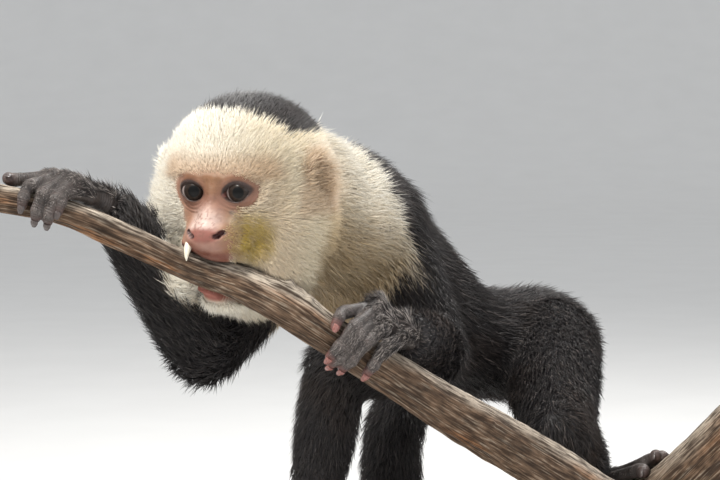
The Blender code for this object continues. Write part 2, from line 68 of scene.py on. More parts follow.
SPINE = (
    ((-0.100, -0.155, 0.377), 0.044, 0.043),
    ((-0.086, -0.129, 0.368), 0.047, 0.045),
    ((-0.070, -0.085, 0.360), 0.052, 0.053),
    ((-0.055, -0.035, 0.336), 0.050, 0.060),
    ((-0.023, 0.008, 0.304), 0.046, 0.052),
    ((0.015, 0.050, 0.274), 0.041, 0.041),
    ((0.050, 0.085, 0.264), 0.042, 0.041),
    ((0.075, 0.108, 0.262), 0.043, 0.043),
    ((0.096, 0.134, 0.258), 0.030, 0.034),
)
JOINTS = {
    "shoulder_L": (-0.038, -0.065, 0.356),
    "elbow_L": (-0.006, -0.108, 0.284),
    "wrist_L": (-0.022, -0.189, 0.301),
    "shoulder_R": (-0.103, -0.066, 0.337),
    "elbow_R": (-0.142, -0.155, 0.291),
    "wrist_R": (-0.190, -0.209, 0.377),
    "hip_L": (0.081, 0.076, 0.265),
    "knee_L": (0.079, -0.037, 0.223),
    "ankle_L": (0.111, 0.057, 0.170),
    "hip_R": (0.036, 0.119, 0.260),
    "knee_R": (-0.066, 0.048, 0.255),
    "ankle_R": (-0.085, 0.060, 0.136),
}
LIMB_JOINTS = {"ARM": ("shoulder", "elbow", "wrist"), "LEG": ("hip", "knee", "ankle")}
LIMB_RADII = {"ARM": (0.031, 0.0245, 0.015), "LEG": (0.038, 0.024, 0.015)}
TAIL = (
    ((0.082, 0.112, 0.268), 0.0260),
    ((0.102, 0.152, 0.258), 0.0250),
    ((0.088, 0.188, 0.244), 0.0240),
    ((0.048, 0.199, 0.236), 0.0235),
    ((0.010, 0.186, 0.226), 0.0235),
    ((-0.016, 0.160, 0.212), 0.0235),
    ((-0.026, 0.138, 0.188), 0.0240),
    ((-0.027, 0.132, 0.155), 0.0240),
    ((-0.025, 0.128, 0.120), 0.0235),
    ((-0.022, 0.115, 0.088), 0.0225),
    ((-0.014, 0.085, 0.062), 0.0205),
    ((0.000, 0.052, 0.051), 0.0175),
    ((0.014, 0.020, 0.060), 0.0125),
)
BRANCH = (
    ((-0.255, -0.238, 0.385), 0.0079),
    ((-0.212, -0.237, 0.3755), 0.0077),
    ((-0.176, -0.2290, 0.3595), 0.0079),
    ((-0.148, -0.2190, 0.3452), 0.0080),
    ((-0.116, -0.2180, 0.334), 0.0105),
    ((-0.092, -0.2190, 0.322), 0.0118),
    ((-0.067, -0.214, 0.305), 0.0110),
    ((-0.028, -0.199, 0.278), 0.0125),
    ((0.002, -0.182, 0.257), 0.0137),
    ((0.028, -0.165, 0.240), 0.0148),
    ((0.071, -0.135, 0.210), 0.0162),
    ((0.098, -0.110, 0.189), 0.0170),
    ((0.127, -0.078, 0.167), 0.0180),
    ((0.154, -0.030, 0.144), 0.0190),
    ((0.158, 0.004, 0.138), 0.0195),
)
LIMB = (
    ((0.212, -0.038, 0.232), 0.0250),
    ((0.203, -0.029, 0.220), 0.0250),
    ((0.175, -0.010, 0.186), 0.0255),
    ((0.156, 0.007, 0.164), 0.0262),
    ((0.133, 0.021, 0.148), 0.0268),
    ((0.109, 0.035, 0.135), 0.0265),
    ((0.047, 0.049, 0.117), 0.0255),
    ((-0.022, 0.053, 0.107), 0.0250),
    ((-0.079, 0.052, 0.097), 0.0245),
    ((-0.133, 0.052, 0.087), 0.0240),
)
DIGIT_TURNS = ((0.0, 0.0), (0.85, 0.45), (1.0, 0.78), (1.0, 1.0))
REST_GAP = 0.0006
FINGER_RADII = (0.0056, 0.0047, 0.0043, 0.0036)
TOE_RADII = (0.0060, 0.0050, 0.0046, 0.0040)
PALM_BONE_RADII = (0.0078, 0.0064, 0.0050, 0.0045, 0.0047, 0.0054)
SLIM = {"hand_L": 0.82, "hand_R": 0.80, "foot_L": 0.90, "foot_R": 0.90}
# A digit's knuckle: along the branch, degrees from its top, height off its bark. Its tip: along, degrees.
DIGITS = {
    "hand_L": (
        ((0.462, -43, 0.0240), (0.4205, 62)),
        ((0.459, -30, 0.0205), (0.434, 128)),
        ((0.461, -27, 0.0150), (0.441, 148)),
        ((0.469, -15, 0.0105), (0.450, 137)),
        ((0.482, -5, 0.0080), (0.466, 112)),
    ),
    "hand_R": (
        ((0.086, -32, 0.0060), (0.065, 90)),
        ((0.070, 0, 0.0095), (0.0590, 128)),
        ((0.062, -8, 0.0100), (0.0490, 126)),
        ((0.054, -20, 0.0100), (0.0375, 96)),
        ((0.048, -40, 0.0120), (0.0185, -12)),
    ),
    "foot_L": (
        ((0.500, -2, 0.0090), (0.405, 26)),
        ((0.455, -12, 0.0080), (0.290, 10)),
        ((0.452, -24, 0.0085), (0.262, -16)),
        ((0.458, -38, 0.0085), (0.280, -42)),
        ((0.468, -50, 0.0085), (0.320, -66)),
    ),
    "foot_R": (
        ((0.850, -20, 0.0080), (0.785, 34)),
        ((0.862, 18, 0.0085), (0.850, 112)),
        ((0.877, 22, 0.0085), (0.880, 120)),
        ((0.892, 18, 0.0085), (0.908, 114)),
        ((0.905, 10, 0.0080), (0.936, 100)),
    ),
}
HEELS = {"foot_L": (0.588, -34, 0.0085), "foot_R": (0.868, -82, 0.0085)}
FLESH = (
    ["head", "jaw", "neck", "chest", "loin", "pelvis"]
    + [f"{part}_{side}" for part in ("upper_arm", "forearm", "thigh", "shank") for side in "LR"]
    + [f"tail_{n}" for n in range(1, 7)]
)
PAWS = ["hand_L", "hand_R", "foot_L", "foot_R"]
EARS = ["ear_L", "ear_R"]


# ---- small tools on arrays


def unit(rows: Array) -> Array:
    """Rows scaled to length one."""
    return rows / np.maximum(np.linalg.norm(rows, axis=-1, keepdims=True), 1e-12)


def smooth(low: float, high: float, values: Array) -> Array:
    """0 below low, 1 above high, and a smooth step between them.

    Args:
        low: Where the step starts; it may lie above high, and the step then falls.
        high: Where the step ends.
        values: The values to map.

    Returns:
        The stepped values.
    """
    t = np.clip((values - low) / (high - low), 0.0, 1.0)
    return t * t * (3 - 2 * t)


def mix(a: Array | Colour, b: Array | Colour, share: Array) -> Array:
    """One colour or rows of them turning into another, or into other rows, by share."""
    a, b = np.asarray(a), np.asarray(b)
    return a + (b - a) * np.asarray(share)[..., None]


def bell(values: Array, middle: float, breadth: float) -> Array:
    """1 at middle, about a third at breadth to either side of it, and almost 0 past twice that."""
    return np.exp(-(((values - middle) / breadth) ** 2))


WORD = 0xFFFFFFFF
SEED_PRIME = 2654435761
STIR_PRIME = 1274126177
AXIS_PRIMES = (73856093, 19349663, 83492791)


def lattice(cells: Array, seed: int) -> Array:
    """A repeatable number from 0 to 1 for each row of whole-number cells."""
    mask = np.uint64(WORD)
    mixed = np.full(len(cells), (seed * SEED_PRIME) & WORD, np.uint64)
    for column, prime in zip(cells.T, AXIS_PRIMES):
        mixed = (mixed ^ ((column.astype(np.int64) & WORD).astype(np.uint64) * np.uint64(prime))) & mask
        mixed = ((mixed ^ (mixed >> np.uint64(13))) * np.uint64(STIR_PRIME)) & mask
        mixed = mixed ^ (mixed >> np.uint64(16))
    return mixed.astype(np.float64) / WORD


def noise(points: Array, size: float, seed: int = 0, octaves: int = 2) -> Array:
    """Smooth noise from -1 to 1.

    Args:
        points: Rows of x, y, z.
        size: The breadth of its largest lumps.
        seed: Which noise it is.
        octaves: How many ever finer layers it has.

    Returns:
        One value for each point.
    """
    total = np.zeros(len(points))
    weight, scale = 1.0, 0.0
    for octave in range(octaves):
        q = points * (2.0**octave / size) + 17.3 * octave
        cell = np.floor(q).astype(np.int64)
        t = q - cell
        t = t * t * (3 - 2 * t)
        value = np.zeros(len(points))
        for corner in np.ndindex(2, 2, 2):
            w = np.ones(len(points))
            for axis, bit in enumerate(corner):
                w *= t[:, axis] if bit else 1 - t[:, axis]
            value += w * lattice(cell + np.array(corner), seed + octave)
        total += weight * (2 * value - 1)
        scale += weight
        weight *= 0.5
    return total / scale


def refined(stations: tuple, steps: int) -> tuple[Array, Array]:
    """Points and radii on a smooth curve through stations of (point, radius or breadth and depth).

    Args:
        stations: The stations.
        steps: How many points stand for each stretch between two stations.

    Returns:
        The points, and one row of radii for each.
    """
    rows = np.array([[*s[0], s[1], s[-1]] for s in stations], float)
    rows = np.vstack([rows[:1], rows, rows[-1:]])
    out = []
    for i in range(1, len(rows) - 2):
        a, b, c, d = rows[i - 1 : i + 3]
        for k in range(steps):
            t = k / steps
            curve = 2 * b + (c - a) * t + (2 * a - 5 * b + 4 * c - d) * t**2 + (3 * b - a - 3 * c + d) * t**3
            out.append(0.5 * curve)
    out.append(rows[-2])
    out = np.array(out)
    return out[:, :3], out[:, 3:]


def near_line(points: Array, line: Array, radii: Array) -> tuple[Array, Array, Array]:
    """How far points are outside a bent tube.

    Args:
        points: Rows of x, y, z.
        line: The tube's middle line.
        radii: Its radius at each point of that line.

    Returns:
        The distance outside the tube, the place along it from 0 to 1, and the nearest stretch.
    """
    best = np.full(len(points), FAR)
    place = np.zeros(len(points))
    which = np.zeros(len(points), int)
    for i in range(len(line) - 1):
        a, ab = line[i], line[i + 1] - line[i]
        t = np.clip(((points - a) @ ab) / (ab @ ab), 0.0, 1.0)
        radius = radii[i] + (radii[i + 1] - radii[i]) * t
        gap = np.linalg.norm(points - a - t[:, None] * ab, axis=1) - radius
        nearer = gap < best
        best[nearer] = gap[nearer]
        place[nearer] = (i + t[nearer]) / (len(line) - 1)
        which[nearer] = i
    return best, place, which


@dataclass(frozen=True)
class HeadFrame:
    """The head's own directions: left, forward and up from its middle."""

    centre: Triple = (-0.115, -0.188, 0.39)
    yaw: float = 23.0
    pitch: float = 8.0
    roll: float = 0.5

    def axes(self) -> Array:
        """Rows of the left, forward and up directions."""
        yaw, pitch, roll = (math.radians(a) for a in (self.yaw, self.pitch, self.roll))
        flat = math.cos(pitch)
        forward = np.array([-math.sin(yaw) * flat, -math.cos(yaw) * flat, -math.sin(pitch)])
        level = np.array([math.cos(yaw), -math.sin(yaw), 0.0])
        upright = np.cross(forward, level)
        left = level * math.cos(roll) - upright * math.sin(roll)
        return np.array([left, forward, upright * math.cos(roll) + level * math.sin(roll)])

    def local(self, points: Array) -> Array:
        """World points as distances to the left, forward and up, in millimetres."""
        return (points - np.array(self.centre)) @ self.axes().T / MM

    def world(self, places: Array) -> Array:
        """Distances in millimetres as world points."""
        return np.array(self.centre) + np.asarray(places) * MM @ self.axes()

    def turned(self, directions: Array) -> Array:
        """Directions given as left, forward and up, in world axes."""
        return np.asarray(directions) @ self.axes()


HEAD = HeadFrame()


class Perch:
    """A length of branch that hands and feet are laid round."""

    def __init__(self, stations: tuple) -> None:
        """Draws the branch's middle line through its stations."""
        self.line, radii = refined(stations, 6)
        self.radii = radii[:, 0]

    def at(self, along: float, angle: float, lift: float) -> Array:
        """A point off the bark.

        Args:
            along: How far down the branch, from 0 to 1.
            angle: Degrees from its top to its front.
            lift: Height off the bark.

        Returns:
            The point.
        """
        place = along * (len(self.line) - 1)
        i = min(int(place), len(self.line) - 2)
        here, after = self.line[i], self.line[i + 1]
        share = place - i
        tangent = unit(after - here)
        front = np.array([0.0, -1.0, 0.0])
        front = unit(front - tangent * (tangent @ front))
        top = np.cross(tangent, front)
        top = -top if top[2] < 0 else top
        turn = math.radians(angle)
        radius = self.radii[i] + (self.radii[i + 1] - self.radii[i]) * share + lift
        return here + (after - here) * share + (top * math.cos(turn) + front * math.sin(turn)) * radius

    def outside(self, points: Array) -> Array:
        """How far points lie outside the bark."""
        return near_line(points, self.line, self.radii)[0]


PERCHES = {"perch_branch": Perch(BRANCH), "perch_limb": Perch(LIMB)}


# ---- meshes


def mesh_object(name: str, points: Array, faces: Array, colours: Array | None = None) -> Thing:
    """A smooth-shaded object from arrays.

    Args:
        name: The object's name.
        points: Rows of x, y, z.
        faces: Rows of three or four corners.
        colours: One colour for each point, kept as the attribute "tone".

    Returns:
        The new object.
    """
    mesh = bpy.data.meshes.new(name)
    size = faces.shape[1]
    mesh.vertices.add(len(points))
    mesh.vertices.foreach_set("co", np.ascontiguousarray(points, np.float32).ravel())
    mesh.loops.add(faces.size)
    mesh.loops.foreach_set("vertex_index", np.ascontiguousarray(faces, np.int32).ravel())
    mesh.polygons.add(len(faces))
    mesh.polygons.foreach_set("loop_start", np.arange(0, faces.size, size, dtype=np.int32))
    mesh.polygons.foreach_set("use_smooth", np.ones(len(faces), bool))
    mesh.update(calc_edges=True)
    if colours is not None:
        tint(mesh, colours)
    obj = bpy.data.objects.new(name, mesh)
    bpy.context.scene.collection.objects.link(obj)
    return obj


def sheet_faces(index: Array) -> Array:
    """Faces of four corners between the points of a grid, given by their numbers."""
    corners = [index[:-1, :-1], index[:-1, 1:], index[1:, 1:], index[1:, :-1]]
    return np.stack(corners, axis=-1).reshape(-1, 4)


def ring_faces(rows: int, around: int) -> Array:
    """Faces of four corners between rings of points that follow one another."""
    first = np.arange(rows - 1)[:, None] * around + np.arange(around)
    second = np.arange(rows - 1)[:, None] * around + (np.arange(around) + 1) % around
    return np.stack([first, first + around, second + around, second], axis=-1).reshape(-1, 4)


def halved(quads: Array) -> Array:
    """Faces of four corners, each cut into two triangles."""
    return np.vstack([quads[:, [0, 1, 2]], quads[:, [0, 2, 3]]])


def areas(points: Array, faces: Array) -> Array:
    """The area of each triangle."""
    a, b, c = (points[faces[:, k]] for k in range(3))
    return np.linalg.norm(np.cross(b - a, c - a), axis=1) / 2


def laid(ways: Array, normals: Array) -> Array:
    """Directions laid flat on the surface that the normals stand on."""
    return unit(ways - normals * np.sum(ways * normals, axis=1, keepdims=True))


def keep_vectors(mesh: bpy.types.Mesh, name: str, rows: Array) -> None:
    """Keeps one vector for each point of a mesh as an attribute."""
    layer = mesh.attributes.new(name, "FLOAT_VECTOR", "POINT")
    layer.data.foreach_set("vector", rows.astype(np.float32).ravel())


def move_points(obj: Thing, points: Array) -> None:
    """Puts an object's points where the rows say."""
    obj.data.vertices.foreach_set("co", points.astype(np.float32).ravel())


def tint(mesh: bpy.types.Mesh, colours: Array) -> None:
    """Keeps one colour for each point of a mesh as its attribute "tone"."""
    layer = mesh.attributes.get("tone") or mesh.attributes.new("tone", "FLOAT_COLOR", "POINT")
    rows = np.ones((len(colours), 4), np.float32)
    rows[:, :3] = colours
    layer.data.foreach_set("color", rows.ravel())


def arrays(obj: Thing) -> tuple[Array, Array]:
    """An object's points, and its faces as triangles."""
    mesh = obj.data
    points = np.empty(len(mesh.vertices) * 3, np.float32)
    mesh.vertices.foreach_get("co", points)
    mesh.calc_loop_triangles()
    faces = np.empty(len(mesh.loop_triangles) * 3, np.int32)
    mesh.loop_triangles.foreach_get("vertices", faces)
    return points.reshape(-1, 3).astype(float), faces.reshape(-1, 3)


def point_normals(points: Array, faces: Array) -> Array:
    """The outward direction at each point of a triangle mesh."""
    a, b, c = (points[faces[:, k]] for k in range(3))
    face = np.cross(b - a, c - a)
    out = np.zeros_like(points)
    for k in range(3):
        np.add.at(out, faces[:, k], face)
    return unit(out)


def select_only(obj: Thing) -> None:
    """Makes obj the one selected, active object."""
    for other in bpy.context.selected_objects:
        other.select_set(False)
    obj.select_set(True)
    bpy.context.view_layer.objects.active = obj


def apply(obj: Thing, kind: str, **settings: object) -> None:
    """Adds a modifier to obj and applies it.

    Args:
        obj: The object.
        kind: The modifier's type.
        settings: What is set on it.
    """
    modifier = obj.modifiers.new(kind.lower(), kind)
    for key, value in settings.items():
        setattr(modifier, key, value)
    select_only(obj)
    bpy.ops.object.modifier_apply(modifier=modifier.name)


def copy_of(node: str) -> Thing:
    """A copy of a CAD node, with its loose triangles merged."""
    copy = bpy.data.objects.new(node + "_copy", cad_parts[node].data.copy())
    bpy.context.scene.collection.objects.link(copy)
    builder = bmesh.new()
    builder.from_mesh(copy.data)
    bmesh.ops.remove_doubles(builder, verts=builder.verts, dist=0.01 * MM)
    builder.to_mesh(copy.data)
    builder.free()
    return copy


def face_outward(obj: Thing) -> None:
    """Turns all faces of an object to point outwards."""
    select_only(obj)
    bpy.ops.object.mode_set(mode="EDIT")
    bpy.ops.mesh.select_all(action="SELECT")
    bpy.ops.mesh.normals_make_consistent(inside=False)
    bpy.ops.object.mode_set(mode="OBJECT")


def joined(name: str, objects: list[Thing]) -> Thing:
    """All objects as one."""
    select_only(objects[0])
    for obj in objects[1:]:
        obj.select_set(True)
    bpy.ops.object.join()
    objects[0].name = name
    objects[0].data.name = name
    return objects[0]


def merged(name: str, pieces: list[Thing], voxel: float, rounds: int, most: int) -> Thing:
    """Overlapping pieces made into one closed form.

    Args:
        name: Its name.
        pieces: The pieces.
        voxel: The size of the finest shape that it keeps.
        rounds: How often it is smoothed.
        most: About how many triangles it may have.

    Returns:
        The form.
    """
    form = joined(name, pieces)
    apply(form, "REMESH", mode="VOXEL", voxel_size=voxel, adaptivity=0.0)
    apply(form, "SMOOTH", factor=0.5, iterations=rounds)
    apply(form, "TRIANGULATE")
    apply(form, "DECIMATE", ratio=min(1.0, most / len(form.data.polygons)))
    return form


def tube(line: Array, radii: Array, points: int = 20) -> tuple[Array, Array]:
    """A closed tube with round ends.

    Args:
        line: Its middle line.
        radii: Its radius, or its breadth and depth, at each point of the line.
        points: How many points go round it.

    Returns:
        Its points, and its faces of four corners.
    """
    radii = radii if radii.ndim == 2 else np.stack([radii, radii], axis=1)
    caps = [math.radians(a) for a in (80, 60, 40, 20)]
    start, end = unit(line[0] - line[1]), unit(line[-1] - line[-2])
    head = [(line[0] + start * radii[0, 1] * math.sin(a), radii[0] * math.cos(a)) for a in caps]
    tail = [(line[-1] + end * radii[-1, 1] * math.sin(a), radii[-1] * math.cos(a)) for a in caps[::-1]]
    line = np.vstack([[h[0] for h in head], line, [t[0] for t in tail]])
    radii = np.vstack([[h[1] for h in head], radii, [t[1] for t in tail]])
    along = unit(np.gradient(line, axis=0))
    side = unit(np.cross(along[0], (0.3, 0.2, 1.0)))
    turns = np.arange(points) * TAU / points
    rings = []
    for middle, direction, (breadth, depth) in zip(line, along, radii):
        side = unit(side - direction * (side @ direction))
        up = np.cross(side, direction)
        rings.append(middle + np.outer(np.cos(turns), side) * breadth + np.outer(np.sin(turns), up) * depth)
    return np.vstack(rings), ring_faces(len(rings), points)


# ---- materials


class Link:
    """A shader socket that arithmetic can be written with."""

    def __init__(self, tree: "Shader", socket: bpy.types.NodeSocket) -> None:
        """Takes the socket and the tree that it is in."""
        self.tree = tree
        self.socket = socket

    def math(self, operation: str, other: object) -> "Link":
        """This socket and another, put through a Math node."""
        return self.tree.node("ShaderNodeMath", {"operation": operation}, {0: self, 1: other})

    def __add__(self, other: object) -> "Link":
        """The sum."""
        return self.math("ADD", other)

    def __sub__(self, other: object) -> "Link":
        """The difference."""
        return self.math("SUBTRACT", other)

    def __mul__(self, other: object) -> "Link":
        """The product."""
        return self.math("MULTIPLY", other)


class Shader:
    """A material's node tree."""

    def __init__(self, name: str) -> None:
        """Starts a material of that name."""
        self.material = bpy.data.materials.new(name)
        self.material.use_nodes = True
        self.tree = self.material.node_tree
        self.surface = self.tree.nodes["Principled BSDF"]
        self.place = self.node("ShaderNodeTexCoord", {}, {}, "Object")

    def node(self, kind: str, settings: dict, sockets: dict, output: object = 0) -> Link:
        """Adds a node.

        Args:
            kind: The node's type.
            settings: What is set on the node itself, first; "stops" sets a ramp's stops.
            sockets: The value or link of each input.
            output: Which output is wanted.

        Returns:
            That output.
        """
        node = self.tree.nodes.new(kind)
        for key, value in settings.items():
            if key == "stops":
                ramp = node.color_ramp.elements
                while len(ramp) > 1:
                    ramp.remove(ramp[-1])
                for n, (place, colour) in enumerate(value):
                    stop = ramp[0] if n == 0 else ramp.new(place)
                    stop.position = place
                    rgb = colour if isinstance(colour, tuple) else (colour,) * 3
                    stop.color = (*rgb, 1.0)
            else:
                setattr(node, key, value)
        for key, value in sockets.items():
            self.feed(node.inputs[key], value)
        return Link(self, node.outputs[output])

    def feed(self, socket: bpy.types.NodeSocket, value: object) -> None:
        """Gives a socket a link, a number or a colour."""
        if isinstance(value, Link):
            self.tree.links.new(value.socket, socket)
        elif isinstance(value, tuple) and socket.type == "RGBA":
            socket.default_value = (*value, 1.0)
        else:
            socket.default_value = value

    def texture(self, scale: float, detail: float, stretch: Triple = (1, 1, 1)) -> Link:
        """Noise on the object's own coordinates, from 0 to 1.

        Args:
            scale: Its lumps in each metre.
            detail: Its finer layers.
            stretch: Its scale along each axis.

        Returns:
            The noise.
        """
        place = self.node("ShaderNodeMapping", {}, {"Vector": self.place, "Scale": stretch})
        return self.node("ShaderNodeTexNoise", {}, {"Vector": place, "Scale": scale, "Detail": detail}, "Fac")

    def kept(self, name: str = "tone", output: str = "Color") -> Link:
        """What the mesh keeps for each of its points under a name."""
        return self.node("ShaderNodeAttribute", {"attribute_name": name}, {}, output)

    def blend(self, share: object, first: object, second: object, how: str = "MIX") -> Link:
        """Two colours mixed by share."""
        node = self.tree.nodes.new("ShaderNodeMix")
        node.data_type = "RGBA"
        node.blend_type = how
        for socket, value in zip((node.inputs[0], node.inputs[6], node.inputs[7]), (share, first, second)):
            self.feed(socket, value)
        return Link(self, node.outputs[2])

    def ramp(self, value: Link, *stops: tuple) -> Link:
        """A value turned into colours or greys by stops of (place, colour)."""
        return self.node("ShaderNodeValToRGB", {"stops": stops}, {"Fac": value}, "Color")

    def bump(self, height: Link, depth: float, strength: float) -> Link:
        """A normal from a height; depth is in metres."""
        sockets = {"Height": height, "Distance": depth, "Strength": strength}
        return self.node("ShaderNodeBump", {}, sockets, "Normal")

    def finish(self, **sockets: object) -> Material:
        """Sets the surface's own sockets, written with _ for a space, and returns the material."""
        for key, value in sockets.items():
            self.feed(self.surface.inputs[key.replace("_", " ")], value)
        return self.material


@dataclass(frozen=True)
class SkinFinish:
    """Bare skin under and beside the coat, with fine creases and pores; the creases are darkened as painted
    shade.
    """

    pores: float = 1900.0
    creases: float = 420.0
    mottling: float = 240.0
    folds: float = 4.6
    wander: float = 7.0

    def material(self) -> Material:
        """Builds the material."""
        s = Shader("skin")
        fine = s.texture(self.pores, 2.0)
        broad = s.texture(self.creases, 4.0, (1.0, 1.0, 1.6))
        mottle = s.texture(self.mottling, 4.0)
        parts = s.tree.nodes.new("ShaderNodeSeparateXYZ")
        s.feed(parts.inputs[0], s.kept("folds", "Vector"))
        phase, strength = Link(s, parts.outputs[0]), Link(s, parts.outputs[1])
        wave = s.node("ShaderNodeMath", {"operation": "SINE"}, {0: phase * self.folds + broad * self.wander})
        crease = wave * strength
        colour = s.blend(0.3, s.kept(), s.ramp(mottle, (0.3, 0.45), (0.72, 1.0)), "MULTIPLY")
        # Painted shade: the skin is darkened where the crease wave runs deep, in the folds.
        mask = s.ramp(crease, (0.0, 0.0), (0.9, 0.55))
        colour = s.blend(mask, colour, s.blend(1.0, colour, (0.25, 0.22, 0.22), "MULTIPLY"))
        height = broad * 0.7 + fine * 0.3 - crease * 0.55
        return s.finish(
            Base_Color=colour,
            Roughness=s.ramp(mottle, (0.3, 0.42), (0.7, 0.6)),
            Normal=s.bump(height, 0.0006, 0.7),
            Subsurface_Weight=0.08,
            Subsurface_Radius=(0.006, 0.003, 0.002),
            Specular_IOR_Level=0.45,
        )


@dataclass(frozen=True)
class CoatFinish:
    """Hair: each lock has its own colour, faintly flecked."""

    roughness: float = 0.52
    flecks: float = 900.0

    def material(self) -> Material:
        """Builds the material."""
        s = Shader("coat")
        fleck = s.texture(self.flecks, 2.0)
        colour = s.blend(0.22, s.kept(), s.ramp(fleck, (0.3, 0.55), (0.7, 1.0)), "MULTIPLY")
        return s.finish(Base_Color=colour, Roughness=self.roughness, Specular_IOR_Level=0.35)


@dataclass(frozen=True)
class EyeFinish:
    """A wet eye: its colours lie on the ball, under a faint clear gloss."""

    veins: float = 2600.0

    def material(self) -> Material:
        """Builds the material."""
        s = Shader("eye")
        vein = s.texture(self.veins, 3.0)
        colour = s.blend(0.25, s.kept(), s.ramp(vein, (0.35, 0.5), (0.65, 1.0)), "MULTIPLY")
        return s.finish(
            Base_Color=colour, Roughness=0.3, Coat_Weight=0.09, Coat_Roughness=0.02, Specular_IOR_Level=0.14
        )


@dataclass(frozen=True)
class HornFinish:
    """Nails and the tooth: smooth, faintly streaked and a little glossy."""

    name: str
    colour: Colour
    streak: Colour
    roughness: float
    streaks: float = 1500.0

    def material(self) -> Material:
        """Builds the material."""
        s = Shader(self.name)
        lines = s.texture(self.streaks, 3.0, (1.0, 1.0, 0.3))
        mask = s.ramp(lines, (0.38, 0.0), (0.62, 1.0))
        return s.finish(
            Base_Color=s.blend(mask, self.colour, self.streak),
            Roughness=s.ramp(lines, (0.3, self.roughness), (0.7, self.roughness + 0.14)),
            Normal=s.bump(lines, 0.0002, 0.4),
            Coat_Weight=0.3,
        )


@dataclass(frozen=True)
class BarkFinish:
    """Weathered bark: the mesh's own tones, crossed by dark and pale fibres."""

    fibres: float = 1.6
    flecks: float = 160.0

    def material(self) -> Material:
        """Builds the material."""
        s = Shader("bark")
        sockets = {"Vector": s.kept("grain", "Vector"), "Scale": self.fibres, "Detail": 7.0}
        fibres = s.node("ShaderNodeTexNoise", {}, sockets, "Fac")
        fleck = s.texture(self.flecks, 5.0)
        colour = s.blend(s.ramp(fibres, (0.4, 0.85), (0.54, 0.0)), s.kept(), (0.05, 0.03, 0.019))
        colour = s.blend(s.ramp(fibres, (0.56, 0.0), (0.68, 0.45)), colour, (0.52, 0.44, 0.34))
        colour = s.blend(0.55, colour, s.ramp(fleck, (0.36, 0.4), (0.6, 1.0)), "MULTIPLY")
        return s.finish(
            Base_Color=colour,
            Roughness=s.ramp(fibres, (0.3, 0.95), (0.7, 0.7)),
            Normal=s.bump(fibres * 0.75 + fleck * 0.25, 0.0022, 1.0),
            Specular_IOR_Level=0.25,
        )


@dataclass(frozen=True)
class StandFinish:
    """The display stand: dark satin wood for the base, brushed steel for the rods."""

    growth: float = 26.0
    brushing: float = 900.0

    def wood(self) -> Material:
        """The base's material."""
        s = Shader("stand_wood")
        grain = s.texture(self.growth, 6.0, (1.0, 9.0, 9.0))
        dark, brown, pale = (0.03, 0.02, 0.014), (0.062, 0.04, 0.027), (0.1, 0.066, 0.044)
        return s.finish(
            Base_Color=s.ramp(grain, (0.32, dark), (0.52, brown), (0.7, pale)),
            Roughness=s.ramp(grain, (0.3, 0.34), (0.7, 0.46)),
            Normal=s.bump(grain, 0.0004, 0.35),
            Coat_Weight=0.25,
            Coat_Roughness=0.25,
        )

    def steel(self) -> Material:
        """The rods' material."""
        s = Shader("stand_steel")
        brushed = s.texture(self.brushing, 2.0, (1.0, 1.0, 0.04))
        return s.finish(
            Base_Color=s.ramp(brushed, (0.3, (0.4, 0.4, 0.41)), (0.7, (0.56, 0.56, 0.57))),
            Metallic=1.0,
            Roughness=s.ramp(brushed, (0.3, 0.28), (0.7, 0.42)),
            Normal=s.bump(brushed, 0.0001, 0.3),
        )


# ---- markings, shared by skin and coat, with painted shade under the jaw


class Region(Enum):
    """The parts of the body that the coat tells apart."""

    HEAD = 0
    TRUNK = 1
    ARM_L = 2
    ARM_R = 3
    LEG_L = 4
    LEG_R = 5
    TAIL = 6


